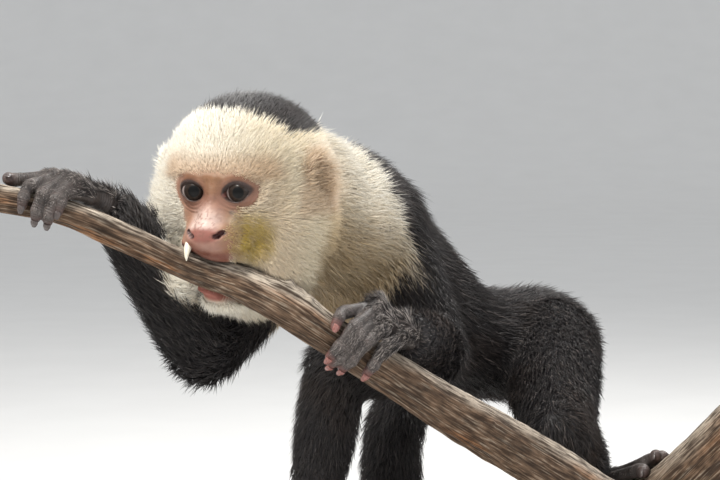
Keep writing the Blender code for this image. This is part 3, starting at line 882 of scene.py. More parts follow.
@dataclass
class Body:
    """Where a point lies on the animal, which way its hair lies, and its markings."""

    blend: float = 0.007
    black: Colour = (0.024, 0.021, 0.022)
    smoke: Colour = (0.08, 0.069, 0.064)
    white: Colour = (0.96, 0.93, 0.85)
    cream: Colour = (0.86, 0.73, 0.49)
    tan: Colour = (0.54, 0.385, 0.205)
    lines: dict[Region, tuple[Array, Array]] = field(default_factory=dict)

    def __post_init__(self) -> None:
        """Lays the middle lines of the trunk, the limbs and the tail."""
        trunk, sizes = refined(SPINE, 3)
        self.lines[Region.TRUNK] = (trunk, sizes.mean(axis=1))
        tail, sizes = refined(TAIL, 3)
        self.lines[Region.TAIL] = (tail, sizes[:, 0])
        for region in (Region.ARM_L, Region.ARM_R, Region.LEG_L, Region.LEG_R):
            kind, side = region.name.split("_")
            line = np.array([JOINTS[f"{joint}_{side}"] for joint in LIMB_JOINTS[kind]])
            line = np.vstack([line, line[-1] + (line[-1] - line[-2])])
            self.lines[region] = (line, np.array([*LIMB_RADII[kind], LIMB_RADII[kind][-1]]))

    def place(self, points: Array) -> "Place":
        """Finds the region of each point.

        Args:
            points: Rows of x, y, z.

        Returns:
            The regions' shares, the place along each and the direction of each.
        """
        shares, along, flows = [], [], []
        local = HEAD.local(points)
        out = (np.linalg.norm((local - (0, 0, -4)) / (46, 46, 50), axis=1) - 1) * 0.044
        shares.append(out - 0.004)
        along.append(local[:, 1] / 100)
        flows.append(self.head_flow(local))
        for region in list(Region)[1:]:
            line, radii = self.lines[region]
            gap, t, which = near_line(points, line, radii)
            steps = unit(np.diff(line, axis=0))
            exact = t * (len(line) - 1) - which
            before = steps[np.maximum(which - 1, 0)]
            after = steps[np.minimum(which + 1, len(steps) - 1)]
            flow = steps[which] + before * smooth(0.5, 0, exact)[:, None] * 0.5
            flow = flow + after * smooth(0.5, 1, exact)[:, None] * 0.5
            shares.append(gap)
            along.append(t)
            flows.append(unit(flow))
        gaps = np.array(shares)
        weight = np.exp(-(gaps - gaps.min(axis=0)) / self.blend)
        weight /= weight.sum(axis=0)
        flow = unit(np.einsum("rn,rnk->nk", weight, np.array(flows)))
        return Place(points, local, weight, np.array(along), flow)

    def head_flow(self, local: Array) -> Array:
        """The lie of the hair on the head: away from the nose, over the crown and back along the cheeks."""
        away = unit(local - (0.0, 58.0, -12.0))
        back = np.array([0.0, -1.0, 0.0])
        down = np.array([0.0, 0.0, -1.0])
        low = smooth(-8, -34, local[:, 2])[:, None]
        return HEAD.turned(unit(away + 0.45 * back + 0.55 * down * low))


@dataclass
class Place:
    """Points with their regions, for the functions that lay out skin and coat."""

    points: Array
    local: Array
    weight: Array
    along: Array
    flow: Array

    def share(self, region: Region) -> Array:
        """How much each point belongs to a region."""
        return self.weight[region.value]

    def t(self, region: Region) -> Array:
        """The place of each point along a region's line, from 0 to 1."""
        return self.along[region.value]

    def bare(self) -> Array:
        """How bare the face is: 0 on the coat, 1 round the eyes, on the muzzle and on the lower lip."""
        left, forward, up = self.local.T
        heights = (-40.0, -33.0, -24.0, -12.0, -6.0, -2.0, 3.0, 9.0, 14.0)
        side = np.abs(left + np.interp(up, heights, (4.0, 6.0, 6.2, 6.0, 5.5, 4.5, 3.5, 3.0, 2.0)))
        widths = (12.0, 16.5, 17.0, 16.0, 18.0, 22.5, 25.5, 23.0, 14.0)
        edge = side / np.interp(up, heights, widths) + 0.12 * noise(self.points, 0.004, 21)
        face = smooth(1.32, 0.74, edge) * smooth(16, 10.5, up + 1.5 * noise(self.points, 0.005, 22))
        face *= smooth(-44, -40, up)
        lip = smooth(1.25, 0.95, np.hypot((left + 2.8) / 16.2, (up + 53.5) / 6.8))
        lip *= smooth(20, 28, forward)
        return np.maximum(face * smooth(20, 27, forward), lip)

    def limb(self, first: Region, second: Region) -> tuple[Array, Array]:
        """How much each point belongs to either of two limbs, and its place along that limb."""
        one, two = self.share(first), self.share(second)
        return np.maximum(one, two), np.where(one > two, self.t(first), self.t(second))

    def depth(self) -> Array:
        """The coat's depth over the skin, in metres."""
        arm, arm_t = self.limb(Region.ARM_L, Region.ARM_R)
        leg, leg_t = self.limb(Region.LEG_L, Region.LEG_R)
        _, forward, up = self.local.T
        head = 2.3 + 1.3 * smooth(30, 0, forward)
        head += 1.6 * smooth(0, -30, up) * smooth(36, 10, forward)
        total = self.share(Region.HEAD) * head * (1 - self.bare())
        total += self.share(Region.TRUNK) * 5
        total += arm * (4.6 - 3.3 * smooth(0.3, 0.68, arm_t))
        total += leg * (4.6 - 3.2 * smooth(0.3, 0.68, leg_t))
        total += self.share(Region.TAIL) * (4.8 - 1.8 * smooth(0.85, 1, self.t(Region.TAIL)))
        return total * MM

    def chosen(self, rows: Array) -> "Place":
        """The places at these rows."""
        by_region = (self.weight[:, rows], self.along[:, rows])
        return Place(self.points[rows], self.local[rows], *by_region, self.flow[rows])

    def mirrored(self) -> Array:
        """The points, with those on the right of the spine's upright plane brought over to its left."""
        across = unit(np.array([0.954, -0.3, 0.0]))
        middle = np.array([-0.07, -0.085, 0.366])
        side = (self.points - middle) @ across
        return self.points - 2 * np.minimum(side, 0.0)[:, None] * across

    def whiteness(self) -> Array:
        """How white the coat is, from 0 to 1, with the streaked edges of the cape and the cap."""
        left, forward, up = self.local.T
        bend = np.where(left > 0, 0.0045, 0.02) * left**2
        edge = forward - (20 - bend) + 2 * noise(self.points, 0.006, 3)
        head = smooth(-4, 3.5, edge)
        head = np.maximum(head, smooth(31, 24, up + 2.5 * noise(self.points, 0.008, 5)))
        behind = (self.mirrored() - np.array([-0.035, -0.098, 0.379])) @ np.array([0.76, 0.45, 0.47])
        trunk = smooth(0.004, -0.013, behind + 0.006 * noise(self.points, 0.012, 4))
        out = self.share(Region.HEAD) * head + self.share(Region.TRUNK) * trunk
        for region in (Region.ARM_L, Region.ARM_R):
            sleeve = smooth(0.22, 0.1, self.t(region) + 0.03 * noise(self.points, 0.012, 6))
            out += self.share(region) * np.minimum(trunk + 0.1, 1.0) * sleeve
        beard = np.linalg.norm((self.local - (-29.0, 14.0, -49.0)) / (18.0, 20.0, 19.0), axis=1)
        return np.clip(np.maximum(out, smooth(1.3, 1.08, beard)), 0.0, 1.0)

    def stain(self, breadth: float, height: float, low: float) -> Array:
        """The yellow stain on the left cheek, by its size and how far below the head's middle it lies."""
        left, forward, up = self.local.T
        reach = np.hypot((left - 17) / breadth, (up + low) / height)
        return smooth(1.25, 0.3, reach) * smooth(6, 18, forward)

    def tan_and_shade(self) -> Array:
        """How much the white turns to tan: on the throat and the chest, deepened there as painted shade under
        the jaw, and a stain on the left cheek.
        """
        points = self.mirrored()
        # The tan on the throat and chest grows downwards and behind the jaw: partly the throat's own tan,
        # partly painted shade under the jaw.
        slope = points[:, 2] + 0.68 * (points[:, 0] + 0.1) + 0.006 * noise(points, 0.02, 8)
        chest = smooth(0.436, 0.372, slope) * smooth(26, 6, self.local[:, 1])
        return np.clip(np.maximum(chest, 0.7 * self.stain(12.0, 15.0, 24.0)), 0.0, 1.0)


# ---- the face, as one smooth form


@dataclass
class Face:
    """The bare face: brow, lids, nose, lips and chin, laid over the front of the head.

    Sizes are in millimetres, as left, forward and up from the middle of the head. Each form and each
    hollow is its centre, its radii and how softly it meets the rest.
    """

    eye_spacing: float = 27.6
    eye_forward: float = 34.5
    eye_up: float = 2.2
    eye_radius: float = 8.8
    lid: float = 0.9
    opening: tuple[float, float] = (7.1, 5.0)
    middle: Triple = (0.0, 4.0, -14.0)
    columns: int = 172
    rows: int = 190
    spread: Triple = (78.0, 62.0, 74.0)
    farthest: float = 70.0
    nearest: float = 8.0
    step: float = 0.6
    forms: tuple = (
        ((0, -4, 4.5), (46, 46, 43), 8),
        ((0, 20.5, -3), (28, 22.5, 30), 7),
        ((10.5, 34.2, 12.6), (12, 8.8, 4.8), 5),
        ((-10.5, 34.2, 12.6), (12, 8.8, 4.8), 5),
        ((0, 35, 12), (7, 6.6, 4.5), 4),
        ((16, 22, -15), (12, 13, 12), 6),
        ((-16, 22.5, -15), (12, 13.5, 12), 6),
        ((-0.5, 37.5, -3), (3.6, 8.6, 12), 4),
        ((-1.8, 40.6, -12.5), (8.2, 11, 9), 6),
        ((-3, 34, -22), (18.3, 20.5, 10.5), 5),
        ((-2.3, 50.8, -18.4), (6, 4.6, 4.6), 4),
        ((4.8, 48.8, -19.6), (4.6, 4.6, 3.8), 3),
        ((-9.4, 48.8, -19.6), (4.6, 4.6, 3.8), 3),
        ((-3.2, 38, -26.8), (19.6, 15, 6.5), 4),
        ((-3, 35.5, -33.5), (17.6, 11.8, 6), 4),
        ((20, 14, -47), (12.5, 12.5, 9), 6),
        ((29, 4, -18), (23.5, 26, 29), 7),
        ((27, 13, -42), (16, 19, 19), 7),
        ((-31, 4, -14), (23.5, 26, 31), 7),
        ((-29, 14, -49), (15, 17, 16), 7),
        ((15, 22, -34), (11, 12.5, 11), 6),
        ((-17, 22, -35), (12, 13, 11), 6),
        ((-3, 24, -60), (14.5, 16.5, 8), 5),
        ((-2.6, 34.4, -53.8), (15, 9.6, 4.8), 3),
    )
    hollows: tuple = (
        ((-3, 42, -45), (12.5, 22, 6.6), 2),
        ((-13.8, 54, -31), (3.3, 6.4, 4.6), 2),
        ((5.4, 52.4, -20.6), (2.1, 3.6, 1.2), 1),
        ((-10, 52.4, -20.6), (1.9, 3.6, 1.2), 1),
        ((7.9, 51, -18.9), (1.6, 3.4, 1.2), 1),
        ((-12.2, 51, -18.9), (1.4, 3.4, 1.2), 1),
        ((-2.3, 57, -21.6), (0.7, 2.4, 4.6), 1),
    )
    grid: tuple = ()

    def __post_init__(self) -> None:
        """Keeps the stretch of branch that the lips lie on."""
        self.bark = Perch(BRANCH[1:7])

    def eye(self, sign: int) -> Array:
        """The middle of an eye; sign is 1 for the left."""
        return np.array([sign * self.eye_spacing / 2, self.eye_forward, self.eye_up])

    @staticmethod
    def egg(q: Array, centre: tuple, radii: tuple) -> Array:
        """The distance outside an ellipsoid, near enough close to it."""
        r = np.array(radii, float)
        p = q - np.array(centre, float)
        near = np.linalg.norm(p / r, axis=-1)
        steep = np.linalg.norm(p / r**2, axis=-1)
        return near * (near - 1) / np.maximum(steep, 1e-9)

    def almond(self, side: Array, rise: Array) -> Array:
        """How far out in the opening of an eye a place lies: 1 is the edge of its lids."""
        across = np.abs(side) / self.opening[0]
        upward = np.abs(rise - 0.1 * side) / self.opening[1]
        return (across**1.9 + upward**1.55) ** 0.58

    @staticmethod
    def met(total: Array, other: Array, soft: float) -> Array:
        """Two distances joined softly or, where soft is below 0, the one cut by the other."""
        h = np.clip(0.5 + 0.5 * (other - total) / soft, 0, 1)
        return other + (total - other) * h - soft * h * (1 - h)

    def outside(self, q: Array) -> Array:
        """How far points lie outside the face, in millimetres; below 0 is inside."""
        total = np.full(q.shape[:-1], self.farthest - 10)
        for centre, radii, soft in self.forms:
            total = self.met(total, self.egg(q, centre, radii), soft)
        for sign in (1, -1):
            p = q - self.eye(sign)
            side = p[..., 0] * sign
            ball = np.linalg.norm(p, axis=-1)
            orbit = self.egg(p, (0, self.eye_radius + 2.5, 0.2), (9.0, 7.0, 7.2))
            total = np.maximum(total, -orbit * 0.8 - 0.4)
            lid = self.lid + 0.5 * smooth(0.5, 4.5, p[..., 2])
            total = self.met(total, ball - (self.eye_radius + lid), 1.6)
            window = (self.almond(side, p[..., 2]) - 1) * 4.5
            front = np.maximum(window, -(p[..., 1] - 1))
            total = np.maximum(total, np.minimum(-front, ball - (self.eye_radius - 1.2)))
        low = q[..., 2] < -24.0
        bark = np.full(q.shape[:-1], self.farthest - 10)
        bark[low] = self.bark.outside(HEAD.world(q[low])) / MM - 0.5
        total = self.met(total, -bark, -1.2)
        for centre, radii, soft in self.hollows:
            total = self.met(total, -self.egg(q, centre, radii), -soft)
        return total

    def creases(self, q: Array) -> Array:
        """The depth of the fine folds: under the eyes, between the brows and on the lips."""
        left, forward, up = q.T
        fold = np.zeros(len(q))
        for sign in (1, -1):
            p = q - self.eye(sign)
            reach = np.linalg.norm(p * (0.85, 0.3, 1.0), axis=1)
            low = smooth(2, -4, p[:, 2])
            wave = np.sin(reach * 2.9 + 1.2 * noise(q * MM, 0.004, 31)) * 0.5
            fold += wave * 0.44 * low * smooth(7, 8.2, reach) * smooth(15, 11, reach)
            high = smooth(2, 5, p[:, 2])
            fold += np.sin(reach * 2.4) * 0.16 * high * smooth(6.5, 7.5, reach) * smooth(12, 9, reach)
        brow = smooth(9, 4, np.abs(left)) * smooth(2, 9, up) * smooth(24, 16, up)
        fold += np.sin(left * 2.4 + 0.8 * noise(q * MM, 0.006, 33)) * 0.14 * brow
        lip = smooth(-25, -28, up) * smooth(-36, -31, up) * smooth(30, 38, forward)
        fold += np.sin(left * 3.4) * 0.12 * lip
        fold += 0.1 * noise(q * MM, 0.0022, 35) + 0.16 * noise(q * MM, 0.007, 36)
        return fold

    def border(self, local: Array) -> Array:
        """How far out from the middle of the grid places lie: 1 is its border.

        Args:
            local: Places in the head's millimetres.

        Returns:
            The share of the way to the border; places behind the head count as beyond it.
        """
        ray = unit(local - np.array(self.middle))
        side = np.degrees(np.arctan2(np.abs(ray[:, 0]), ray[:, 1]))
        rise = np.degrees(np.arcsin(np.clip(ray[:, 2], -1, 1)))
        wide, high, low = self.spread
        return np.maximum(side / wide, np.maximum(rise / high, -rise / low))

    def build(self) -> tuple[Array, Array]:
        """Lays a fine grid over the face.

        Returns:
            Its world points and its faces of four corners.
        """
        wide, high, low_edge = self.spread
        side = np.radians(np.linspace(-wide, wide, self.columns))
        rise = np.radians(np.linspace(-low_edge, high, self.rows))
        a, e = np.meshgrid(side, rise)
        ray = np.stack([np.sin(a) * np.cos(e), np.cos(a) * np.cos(e), np.sin(e)], axis=-1).reshape(-1, 3)
        start = np.array(self.middle)
        open_ray = np.ones(len(ray), bool)
        low = np.full(len(ray), self.nearest)
        for r in np.arange(self.farthest, self.nearest, -self.step):
            active = np.flatnonzero(open_ray)
            inside = self.outside(start + ray[active] * r) < 0
            low[active[inside]] = r
            open_ray[active[inside]] = False
        reach = low + self.step
        for _ in range(7):
            half = (low + reach) / 2
            inside = self.outside(start + ray * half[:, None]) < 0
            low = np.where(inside, half, low)
            reach = np.where(inside, reach, half)
        grid = (start + ray * low[:, None]).reshape(self.rows, self.columns, 3)
        for _ in range(2):
            soft = grid.copy()
            soft[1:-1, 1:-1] = (
                grid[:-2, 1:-1] + grid[2:, 1:-1] + grid[1:-1, :-2] + grid[1:-1, 2:] + 2 * grid[1:-1, 1:-1]
            ) / 6
            grid = soft
        q = grid.reshape(-1, 3)
        q = q + ray * self.creases(q)[:, None]
        q = q - ray * (5 * smooth(0.9, 1, self.border(q)))[:, None]
        index = np.arange(self.rows * self.columns).reshape(self.rows, self.columns)
        faces = sheet_faces(index)
        points = HEAD.world(q)
        self.grid = (points, halved(faces))
        return points, faces

    def colours(self, points: Array) -> Array:
        """The colours of the bare face, with painted shade round the eyes, between them, in the nostrils and
        mouth, and on its left side.

        Args:
            points: World points.

        Returns:
            A colour for each.
        """
        q = HEAD.local(points)
        left, forward, up = q.T
        base = np.array((0.5, 0.3, 0.205)) * (1 + 0.16 * noise(points, 0.004, 41, 3)[:, None])
        brow = smooth(7, 11, up) * smooth(24, 16, up)
        base = mix(base, (0.44, 0.235, 0.125), 0.7 * brow)
        # Darker tan skin between the eyes, deepened as painted shade under the brow ridge.
        between_eyes = smooth(9, 4, np.abs(left)) * smooth(-6, 0, up) * smooth(14, 9, up)
        base = mix(base, (0.24, 0.125, 0.06), 0.8 * between_eyes)
        side = left + 1.8
        muzzle = smooth(20, 11, np.hypot(side, (up + 22) * 1.15)) * smooth(-5, -11, up)
        base = mix(base, (0.6, 0.405, 0.335), 0.8 * muzzle)
        # Painted shade: the skin on the face's left side, below the eyes, is darkened to olive brown.
        olive_shade = smooth(3.5, 10, left) * smooth(0, -8, up)
        base = mix(base, (0.36, 0.215, 0.095), 0.75 * olive_shade)
        bridge = smooth(1.25, 0.45, np.hypot((left + 4) / 11, (up + 13) / 10))
        base = mix(base, (0.92, 0.78, 0.72), 0.72 * bridge)
        pad = smooth(1.25, 0.6, np.linalg.norm((q - (-2.3, 54, -20.0)) / (11.5, 8, 4.6), axis=1))
        base = mix(base, (0.33, 0.095, 0.07), 0.85 * pad)
        # Painted shade: the nostrils are painted near black inside.
        for place in (h[0] for h in self.hollows[2:6]):
            nostril_shade = np.linalg.norm((q - place) / (2.5, 4.0, 1.7), axis=1)
            base = mix(base, (0.06, 0.014, 0.013), smooth(1.2, 0.8, nostril_shade))
        rest = self.bark.outside(points) / MM
        lip = smooth(4.6, 1.8, rest) * smooth(-24, -27, up) * smooth(-46, -42, up)
        lip *= smooth(30, 36, forward)
        base = mix(base, (0.13, 0.032, 0.024), 0.9 * lip)
        blush = (0.45 + 0.55 * smooth(13, 5.5, rest)) * smooth(-21.5, -25.5, up) * smooth(-48, -42, up)
        blush *= smooth(26, 32, forward) * (1 + 0.2 * noise(points, 0.003, 45))
        blush = 0.95 * blush * (1 - lip) * smooth(-18, -11, left)
        base = mix(base, (0.2, 0.062, 0.036), np.clip(blush, 0, 1))
        lower = smooth(1.3, 0.9, np.hypot((left + 2.6) / 15.6, (up + 53.8) / 5.9))
        lower *= smooth(24, 31, forward)
        base = mix(base, (0.32, 0.085, 0.06), 0.9 * lower)
        wet = smooth(1.2, 0.7, np.hypot((left + 2.8) / 12, (up + 51.2) / 1.2)) * lower
        base = mix(base, (0.72, 0.46, 0.4), 0.7 * wet)
        # Painted shade: the inside of the mouth, between the lips, is painted a near black red.
        inside = smooth(-37.5, -40, up) * smooth(-50.6, -48.6, up) * smooth(18, 14, np.abs(left))
        base = mix(base, (0.08, 0.018, 0.016), inside)
        for sign in (1, -1):
            p = q - self.eye(sign)
            out = p[:, 0] * sign
            near = self.almond(out, p[:, 2])
            front = smooth(30, 36, forward)
            # Darker brown skin round each eye, deepened as painted shade in the socket under the brow.
            base = mix(base, (0.2, 0.095, 0.058), 0.85 * smooth(2.3, 1.25, near) * front)
            fold = smooth(0.9, 0.3, np.abs(near - 1.75)) * smooth(1, -3, p[:, 2]) * front
            base = mix(base, (0.36, 0.2, 0.155), 0.45 * fold)
            # Dark lid rims, drawn thicker above as painted shade under the brow.
            edge = near + 0.1 * smooth(0, -3, p[:, 2]) - 0.12 * smooth(0, 3, p[:, 2])
            rim = smooth(1.36, 1.14, edge)
            base = mix(base, (0.03, 0.016, 0.013), 0.97 * rim * front)
            corner = smooth(1.3, 0.7, np.hypot((out + 6.4) / 1.6, (p[:, 2] + 1.2) / 1.2)) * front
            base = mix(base, (0.3, 0.12, 0.1), 0.6 * corner)
        fleck = smooth(0.16, 0.42, noise(points, 0.0012, 43, 1)) * np.maximum(0.5 * muzzle, bridge)
        base = mix(base, (0.3, 0.15, 0.115), 0.6 * fleck)
        for place, breadth in (((16, 38, 13), 0.8), ((10.5, 44, -9), 1.6), ((12.5, 42, -12), 1.2)):
            spot = smooth(1.4, 0.5, np.linalg.norm((q - place) / (breadth, 6.0, breadth), axis=1))
            base = mix(base, (0.1, 0.085, 0.08), 0.6 * spot)
        return np.clip(base * (0.8, 0.72, 0.68), 0, 1)


# ---- skin


@dataclass
class Paw:
    """A hand or foot laid round a branch, with its nails."""

    name: str
    voxel: float = 0.0008
    most: int = 12500
    skin_gap: float = 0.0003
    surface: tuple = ()

    def __post_init__(self) -> None:
        """Finds the branch, the limb's last joints and the digits' own joints."""
        kind, side = self.name.split("_")
        self.perch = PERCHES["perch_branch" if kind == "hand" else "perch_limb"]
        _, before, start = LIMB_JOINTS["ARM" if kind == "hand" else "LEG"]
        self.start = np.array(JOINTS[f"{start}_{side}"])
        self.before = np.array(JOINTS[f"{before}_{side}"])
        self.radii = tuple(r * SLIM[self.name] for r in (FINGER_RADII if kind == "hand" else TOE_RADII))
        self.digits = []
        for knuckle, tip in DIGITS[self.name]:
            rows = []
            for (share_along, share_turn), radius in zip(DIGIT_TURNS, self.radii):
                along = knuckle[0] + (tip[0] - knuckle[0]) * share_along
                angle = knuckle[1] + (tip[1] - knuckle[1]) * share_turn
                rows.append(self.perch.at(along, angle, radius + REST_GAP if share_along else knuckle[2]))
            self.digits.append(np.array(rows))

    def palm(self) -> Array:
        """The middle between the last joint of the limb and the four main knuckles."""
        return (self.start + np.mean([d[0] for d in self.digits[1:]], axis=0)) / 2

    def forms(self) -> list[tuple[Array, Array]]:
        """The tubes that make the paw: digits with their knuckles, the palm's bones, heel and wrist."""
        out = []
        for rows in self.digits:
            stations = tuple((p, r) for p, r in zip(rows, self.radii))
            line, radii = refined(stations, 8)
            place = np.linspace(0, 3, len(line))
            swell = sum(bell(place, k, 0.24) for k in (0.0, 1.0, 2.0))
            pad = bell(place, 2.55, 0.3)
            out.append(tube(line, radii[:, 0] * (0.92 + 0.17 * swell + 0.06 * pad)))
            root = self.start + 0.25 * (rows[0] - self.start)
            out.append(tube(np.linspace(root, rows[0], 6), np.array(PALM_BONE_RADII)))
        if self.name in HEELS:
            heel = self.perch.at(*HEELS[self.name])
            out.append(tube(np.linspace(heel, self.palm(), 6), np.linspace(0.0095, 0.01, 6)))
            out.append(tube(np.linspace(heel, self.start, 6), np.linspace(0.009, 0.012, 6)))
        back = self.start - unit(self.start - self.before) * 0.016
        out.append(tube(np.array([back, self.start, self.palm()]), np.array([0.0125, 0.0122, 0.0093])))
        return out

    def build(self) -> Thing:
        """Merges the forms into one smooth paw."""
        pieces = [mesh_object(f"{self.name}_form", *form) for form in self.forms()]
        paw = merged(self.name, pieces, self.voxel, 4, self.most)
        points, faces = arrays(paw)
        outward = self.off_bark(points)
        points += outward * np.maximum(self.skin_gap - self.perch.outside(points), 0.0)[:, None]
        move_points(paw, points)
        self.surface = (points, faces)
        phase, strength, _ = self.along(points)
        keep_vectors(paw.data, "folds", np.stack([phase, strength, 0 * phase], axis=1))
        return paw

    def off_bark(self, points: Array, step: float = 0.0004) -> Array:
        """The direction straight off the bark at each point, from gaps that far apart."""
        gap = self.perch.outside(points)
        return unit(np.stack([self.perch.outside(points + step * axis) - gap for axis in np.eye(3)], axis=1))

    def along(self, points: Array) -> tuple[Array, Array, Array]:
        """Where points lie on the digits.

        Args:
            points: Rows of x, y, z.

        Returns:
            The distance from the wrist in millimetres, how strong the creases are, and the way to the tip.
        """
        best = np.full(len(points), FAR)
        phase, strength = np.zeros(len(points)), np.zeros(len(points))
        way = np.zeros_like(points)
        for rows in self.digits:
            line = np.vstack([self.start, rows])
            steps = np.diff(line, axis=0)
            lengths = np.linalg.norm(steps, axis=1)
            gap, t, which = near_line(points, line, np.full(len(line), 0.005))
            place = t * (len(line) - 1)
            far = np.interp(place, np.arange(len(line)), np.concatenate([[0], np.cumsum(lengths)]))
            joints = np.min([np.abs(place - k) * lengths[k - 1] for k in (2, 3)], axis=0)
            nearer = gap < best
            best[nearer] = gap[nearer]
            phase[nearer] = far[nearer] / MM
            strength[nearer] = (0.35 + 0.65 * smooth(0.005, 0.001, joints))[nearer]
            way[nearer] = unit(steps)[which[nearer]]
        return phase, strength, way

    def nails(self) -> list[tuple[Array, Array]]:
        """A curved nail on the back of each digit's last joint."""
        out = []
        for rows in self.digits:
            tip, before = rows[-1], rows[-2]
            along = unit(tip - before)
            off = self.off_bark(tip[None], 0.0005)[0]
            off = unit(off - along * (off @ along))
            side = np.cross(along, off)
            radius = self.radii[-1]
            u, v = np.meshgrid(np.linspace(-1, 1, 15), np.linspace(0, 1, 15))
            turn = u * 0.72 * np.sqrt(np.clip(1.08 - (np.abs(v - 0.35) / 0.72) ** 3, 0.05, 1))
            length = (v * 1.55 - 0.1) * radius
            droop = radius * (1.16 - 0.34 * smooth(0.3, 1, v))
            shell = []
            for thick in (0.0, 0.00055):
                spot = tip + length[..., None] * along
                spot = spot + np.sin(turn)[..., None] * side * (droop - thick)[..., None] * 0.93
                spot = spot + np.cos(turn)[..., None] * off * (droop - thick)[..., None]
                shell.append(spot.reshape(-1, 3))
            n = u.size
            index = np.arange(n).reshape(u.shape)
            top = sheet_faces(index)
            rim = np.concatenate([index[0, :-1], index[:-1, -1], index[-1, :0:-1], index[:0:-1, 0]])
            nxt = np.roll(rim, -1)
            wall = np.stack([rim, nxt, nxt + n, rim + n], axis=-1)
            out.append((np.vstack(shell), np.vstack([top, top[:, ::-1] + n, wall[:, ::-1]])))
        return out


@dataclass
class Ear:
    """An outer ear: a rolled rim round a hollow."""

    sign: int
    place: Triple = (44.0, 4.6, 3.8)
    radii: Triple = (6.4, 9.0, 15.2)
    lean: float = 24.0

    def build(self) -> tuple[Array, Array]:
        """Builds the ear.

        Returns:
            Its world points and its triangles.
        """
        bpy.ops.mesh.primitive_ico_sphere_add(subdivisions=5, radius=1.0)
        ball = bpy.context.active_object
        p, faces = arrays(ball)
        bpy.data.objects.remove(ball, do_unlink=True)
        out, ahead, up = p.T
        ring = np.hypot(ahead, up)
        face = smooth(0, 0.35, out)
        flap = 1 - 0.22 * smooth(0.1, -0.9, up) * smooth(-0.2, 0.9, ahead)
        hollow = np.exp(-(((ahead - 0.18) / 0.42) ** 2 + ((up + 0.08) / 0.5) ** 2))
        height = 2.2 * bell(ring, 0.84, 0.13) - 1.9 * hollow
        height += 1.1 * bell(ring, 0.52, 0.1) * smooth(0.3, -0.4, ahead)
        thick = out * np.where(out > 0, 2.2, self.radii[0] * 0.75)
        aside, forth = thick + height * face + 2, ahead * self.radii[1] * flap
        lean = math.radians(self.lean)
        x = aside * math.cos(lean) - forth * math.sin(lean)
        y = aside * math.sin(lean) + forth * math.cos(lean)
        q = np.stack([x * self.sign, y, up * self.radii[2] * flap], axis=1)
        q += (self.sign * self.place[0], *self.place[1:])
        faces = faces[:, ::-1] if self.sign > 0 else faces
        return HEAD.world(q), faces


@dataclass
class Skin:
    """One skin over the whole animal, inside the solids by the coat's depth."""

    body: Body
    face: Face
    voxel: float = 0.0029
    swell: float = 0.0006
    under_face: float = 0.0045
    most: int = 44000
    guide: tuple = ()
    ears: list = field(default_factory=list)
    paws: list = field(default_factory=list)

    def under_coat(self) -> Thing:
        """The body without hands, feet and ears, drawn in by the depth of the coat."""
        copies = []
        for node in FLESH:
            copy = copy_of(node)
            apply(copy, "DISPLACE", strength=self.swell, mid_level=0.0, direction="NORMAL")
            copies.append(copy)
        body = merged("under_coat", copies, self.voxel, 7, self.most)
        points, faces = arrays(body)
        place = self.body.place(points)
        near = np.min([perch.outside(points) for perch in PERCHES.values()], axis=0)
        depth = place.depth() * (0.25 + 0.75 * smooth(0.001, 0.009, near)) + self.swell
        hidden = smooth(0.93, 0.78, self.face.border(place.local))
        hidden = hidden * smooth(0.2, 0.6, place.share(Region.HEAD))
        depth = depth + self.under_face * hidden
        points -= point_normals(points, faces) * depth[:, None]
        move_points(body, points)
        apply(body, "SMOOTH", factor=0.5, iterations=3)
        self.guide = arrays(body)
        return body

    def paint(self, points: Array) -> Array:
        """The skin's colours under the coat: dark under black hair and pale under white."""
        place = self.body.place(points)
        light = place.whiteness()
        colour = mix(self.body.black, (0.66, 0.565, 0.45), light)
        # Tan skin under the tan of the throat and chest, partly painted shade under the jaw.
        return mix(colour, (0.36, 0.25, 0.15), 0.8 * light * place.tan_and_shade())

    def paw_colours(self, points: Array, paw: Paw) -> Array:
        """Dark grey skin, paler on the knuckles, pinker towards the tips."""
        base = mix((0.026, 0.021, 0.019), (0.09, 0.071, 0.063), 0.5 + 0.5 * noise(points, 0.005, 51, 3))
        _, strength, _ = paw.along(points)
        base = mix(base, (0.17, 0.14, 0.127), 0.5 * smooth(0.5, 1, strength))
        tips = np.min([np.linalg.norm(points - rows[-1], axis=1) for rows in paw.digits], axis=0)
        rosy = 0.6 if paw.name == "hand_L" else 0.15
        return mix(base, (0.2, 0.075, 0.062), rosy * smooth(0.0065, 0.003, tips))

    def ear_colours(self, points: Array) -> Array:
        """Mottled tan skin."""
        base = mix((0.55, 0.4, 0.29), (0.42, 0.27, 0.18), 0.5 + 0.5 * noise(points, 0.006, 55))
        return mix(base, (0.6, 0.42, 0.33), 0.5 * smooth(0.2, 0.7, noise(points, 0.01, 56)))

    def build(self) -> Thing:
        """Joins body, face, ears, hands and feet into the one skin."""
        pieces = []
        body = self.under_coat()
        tint(body.data, self.paint(arrays(body)[0]))
        pieces.append(body)
        points, faces = self.face.build()
        tone = self.face.colours(points)
        place = self.body.place(points)
        bare = np.maximum(place.bare(), smooth(38, 46, place.local[:, 1]))
        for sign in (1, -1):
            reach = np.linalg.norm((place.local - self.face.eye(sign)) * (0.8, 0.5, 1.0), axis=1)
            bare = np.maximum(bare, smooth(15, 10, reach))
        tone = mix(self.paint(points), tone, bare)
        pieces.append(mesh_object("face", points, faces, tone))
        for sign in (1, -1):
            points, faces = Ear(sign).build()
            self.ears.append((points, faces))
            pieces.append(mesh_object("ear", points, faces, self.ear_colours(points)))
        for name in PAWS:
            paw = Paw(name)
            obj = paw.build()
            tint(obj.data, self.paw_colours(arrays(obj)[0], paw))
            self.paws.append(paw)
            pieces.append(obj)
        skin = joined("skin", pieces)
        skin.data.polygons.foreach_set("use_smooth", np.ones(len(skin.data.polygons), bool))
        skin.data.materials.clear()
        skin.data.materials.append(SkinFinish().material())
        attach(skin, "root")
        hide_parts(*FLESH, *PAWS, *EARS)
        return skin


# ---- coat


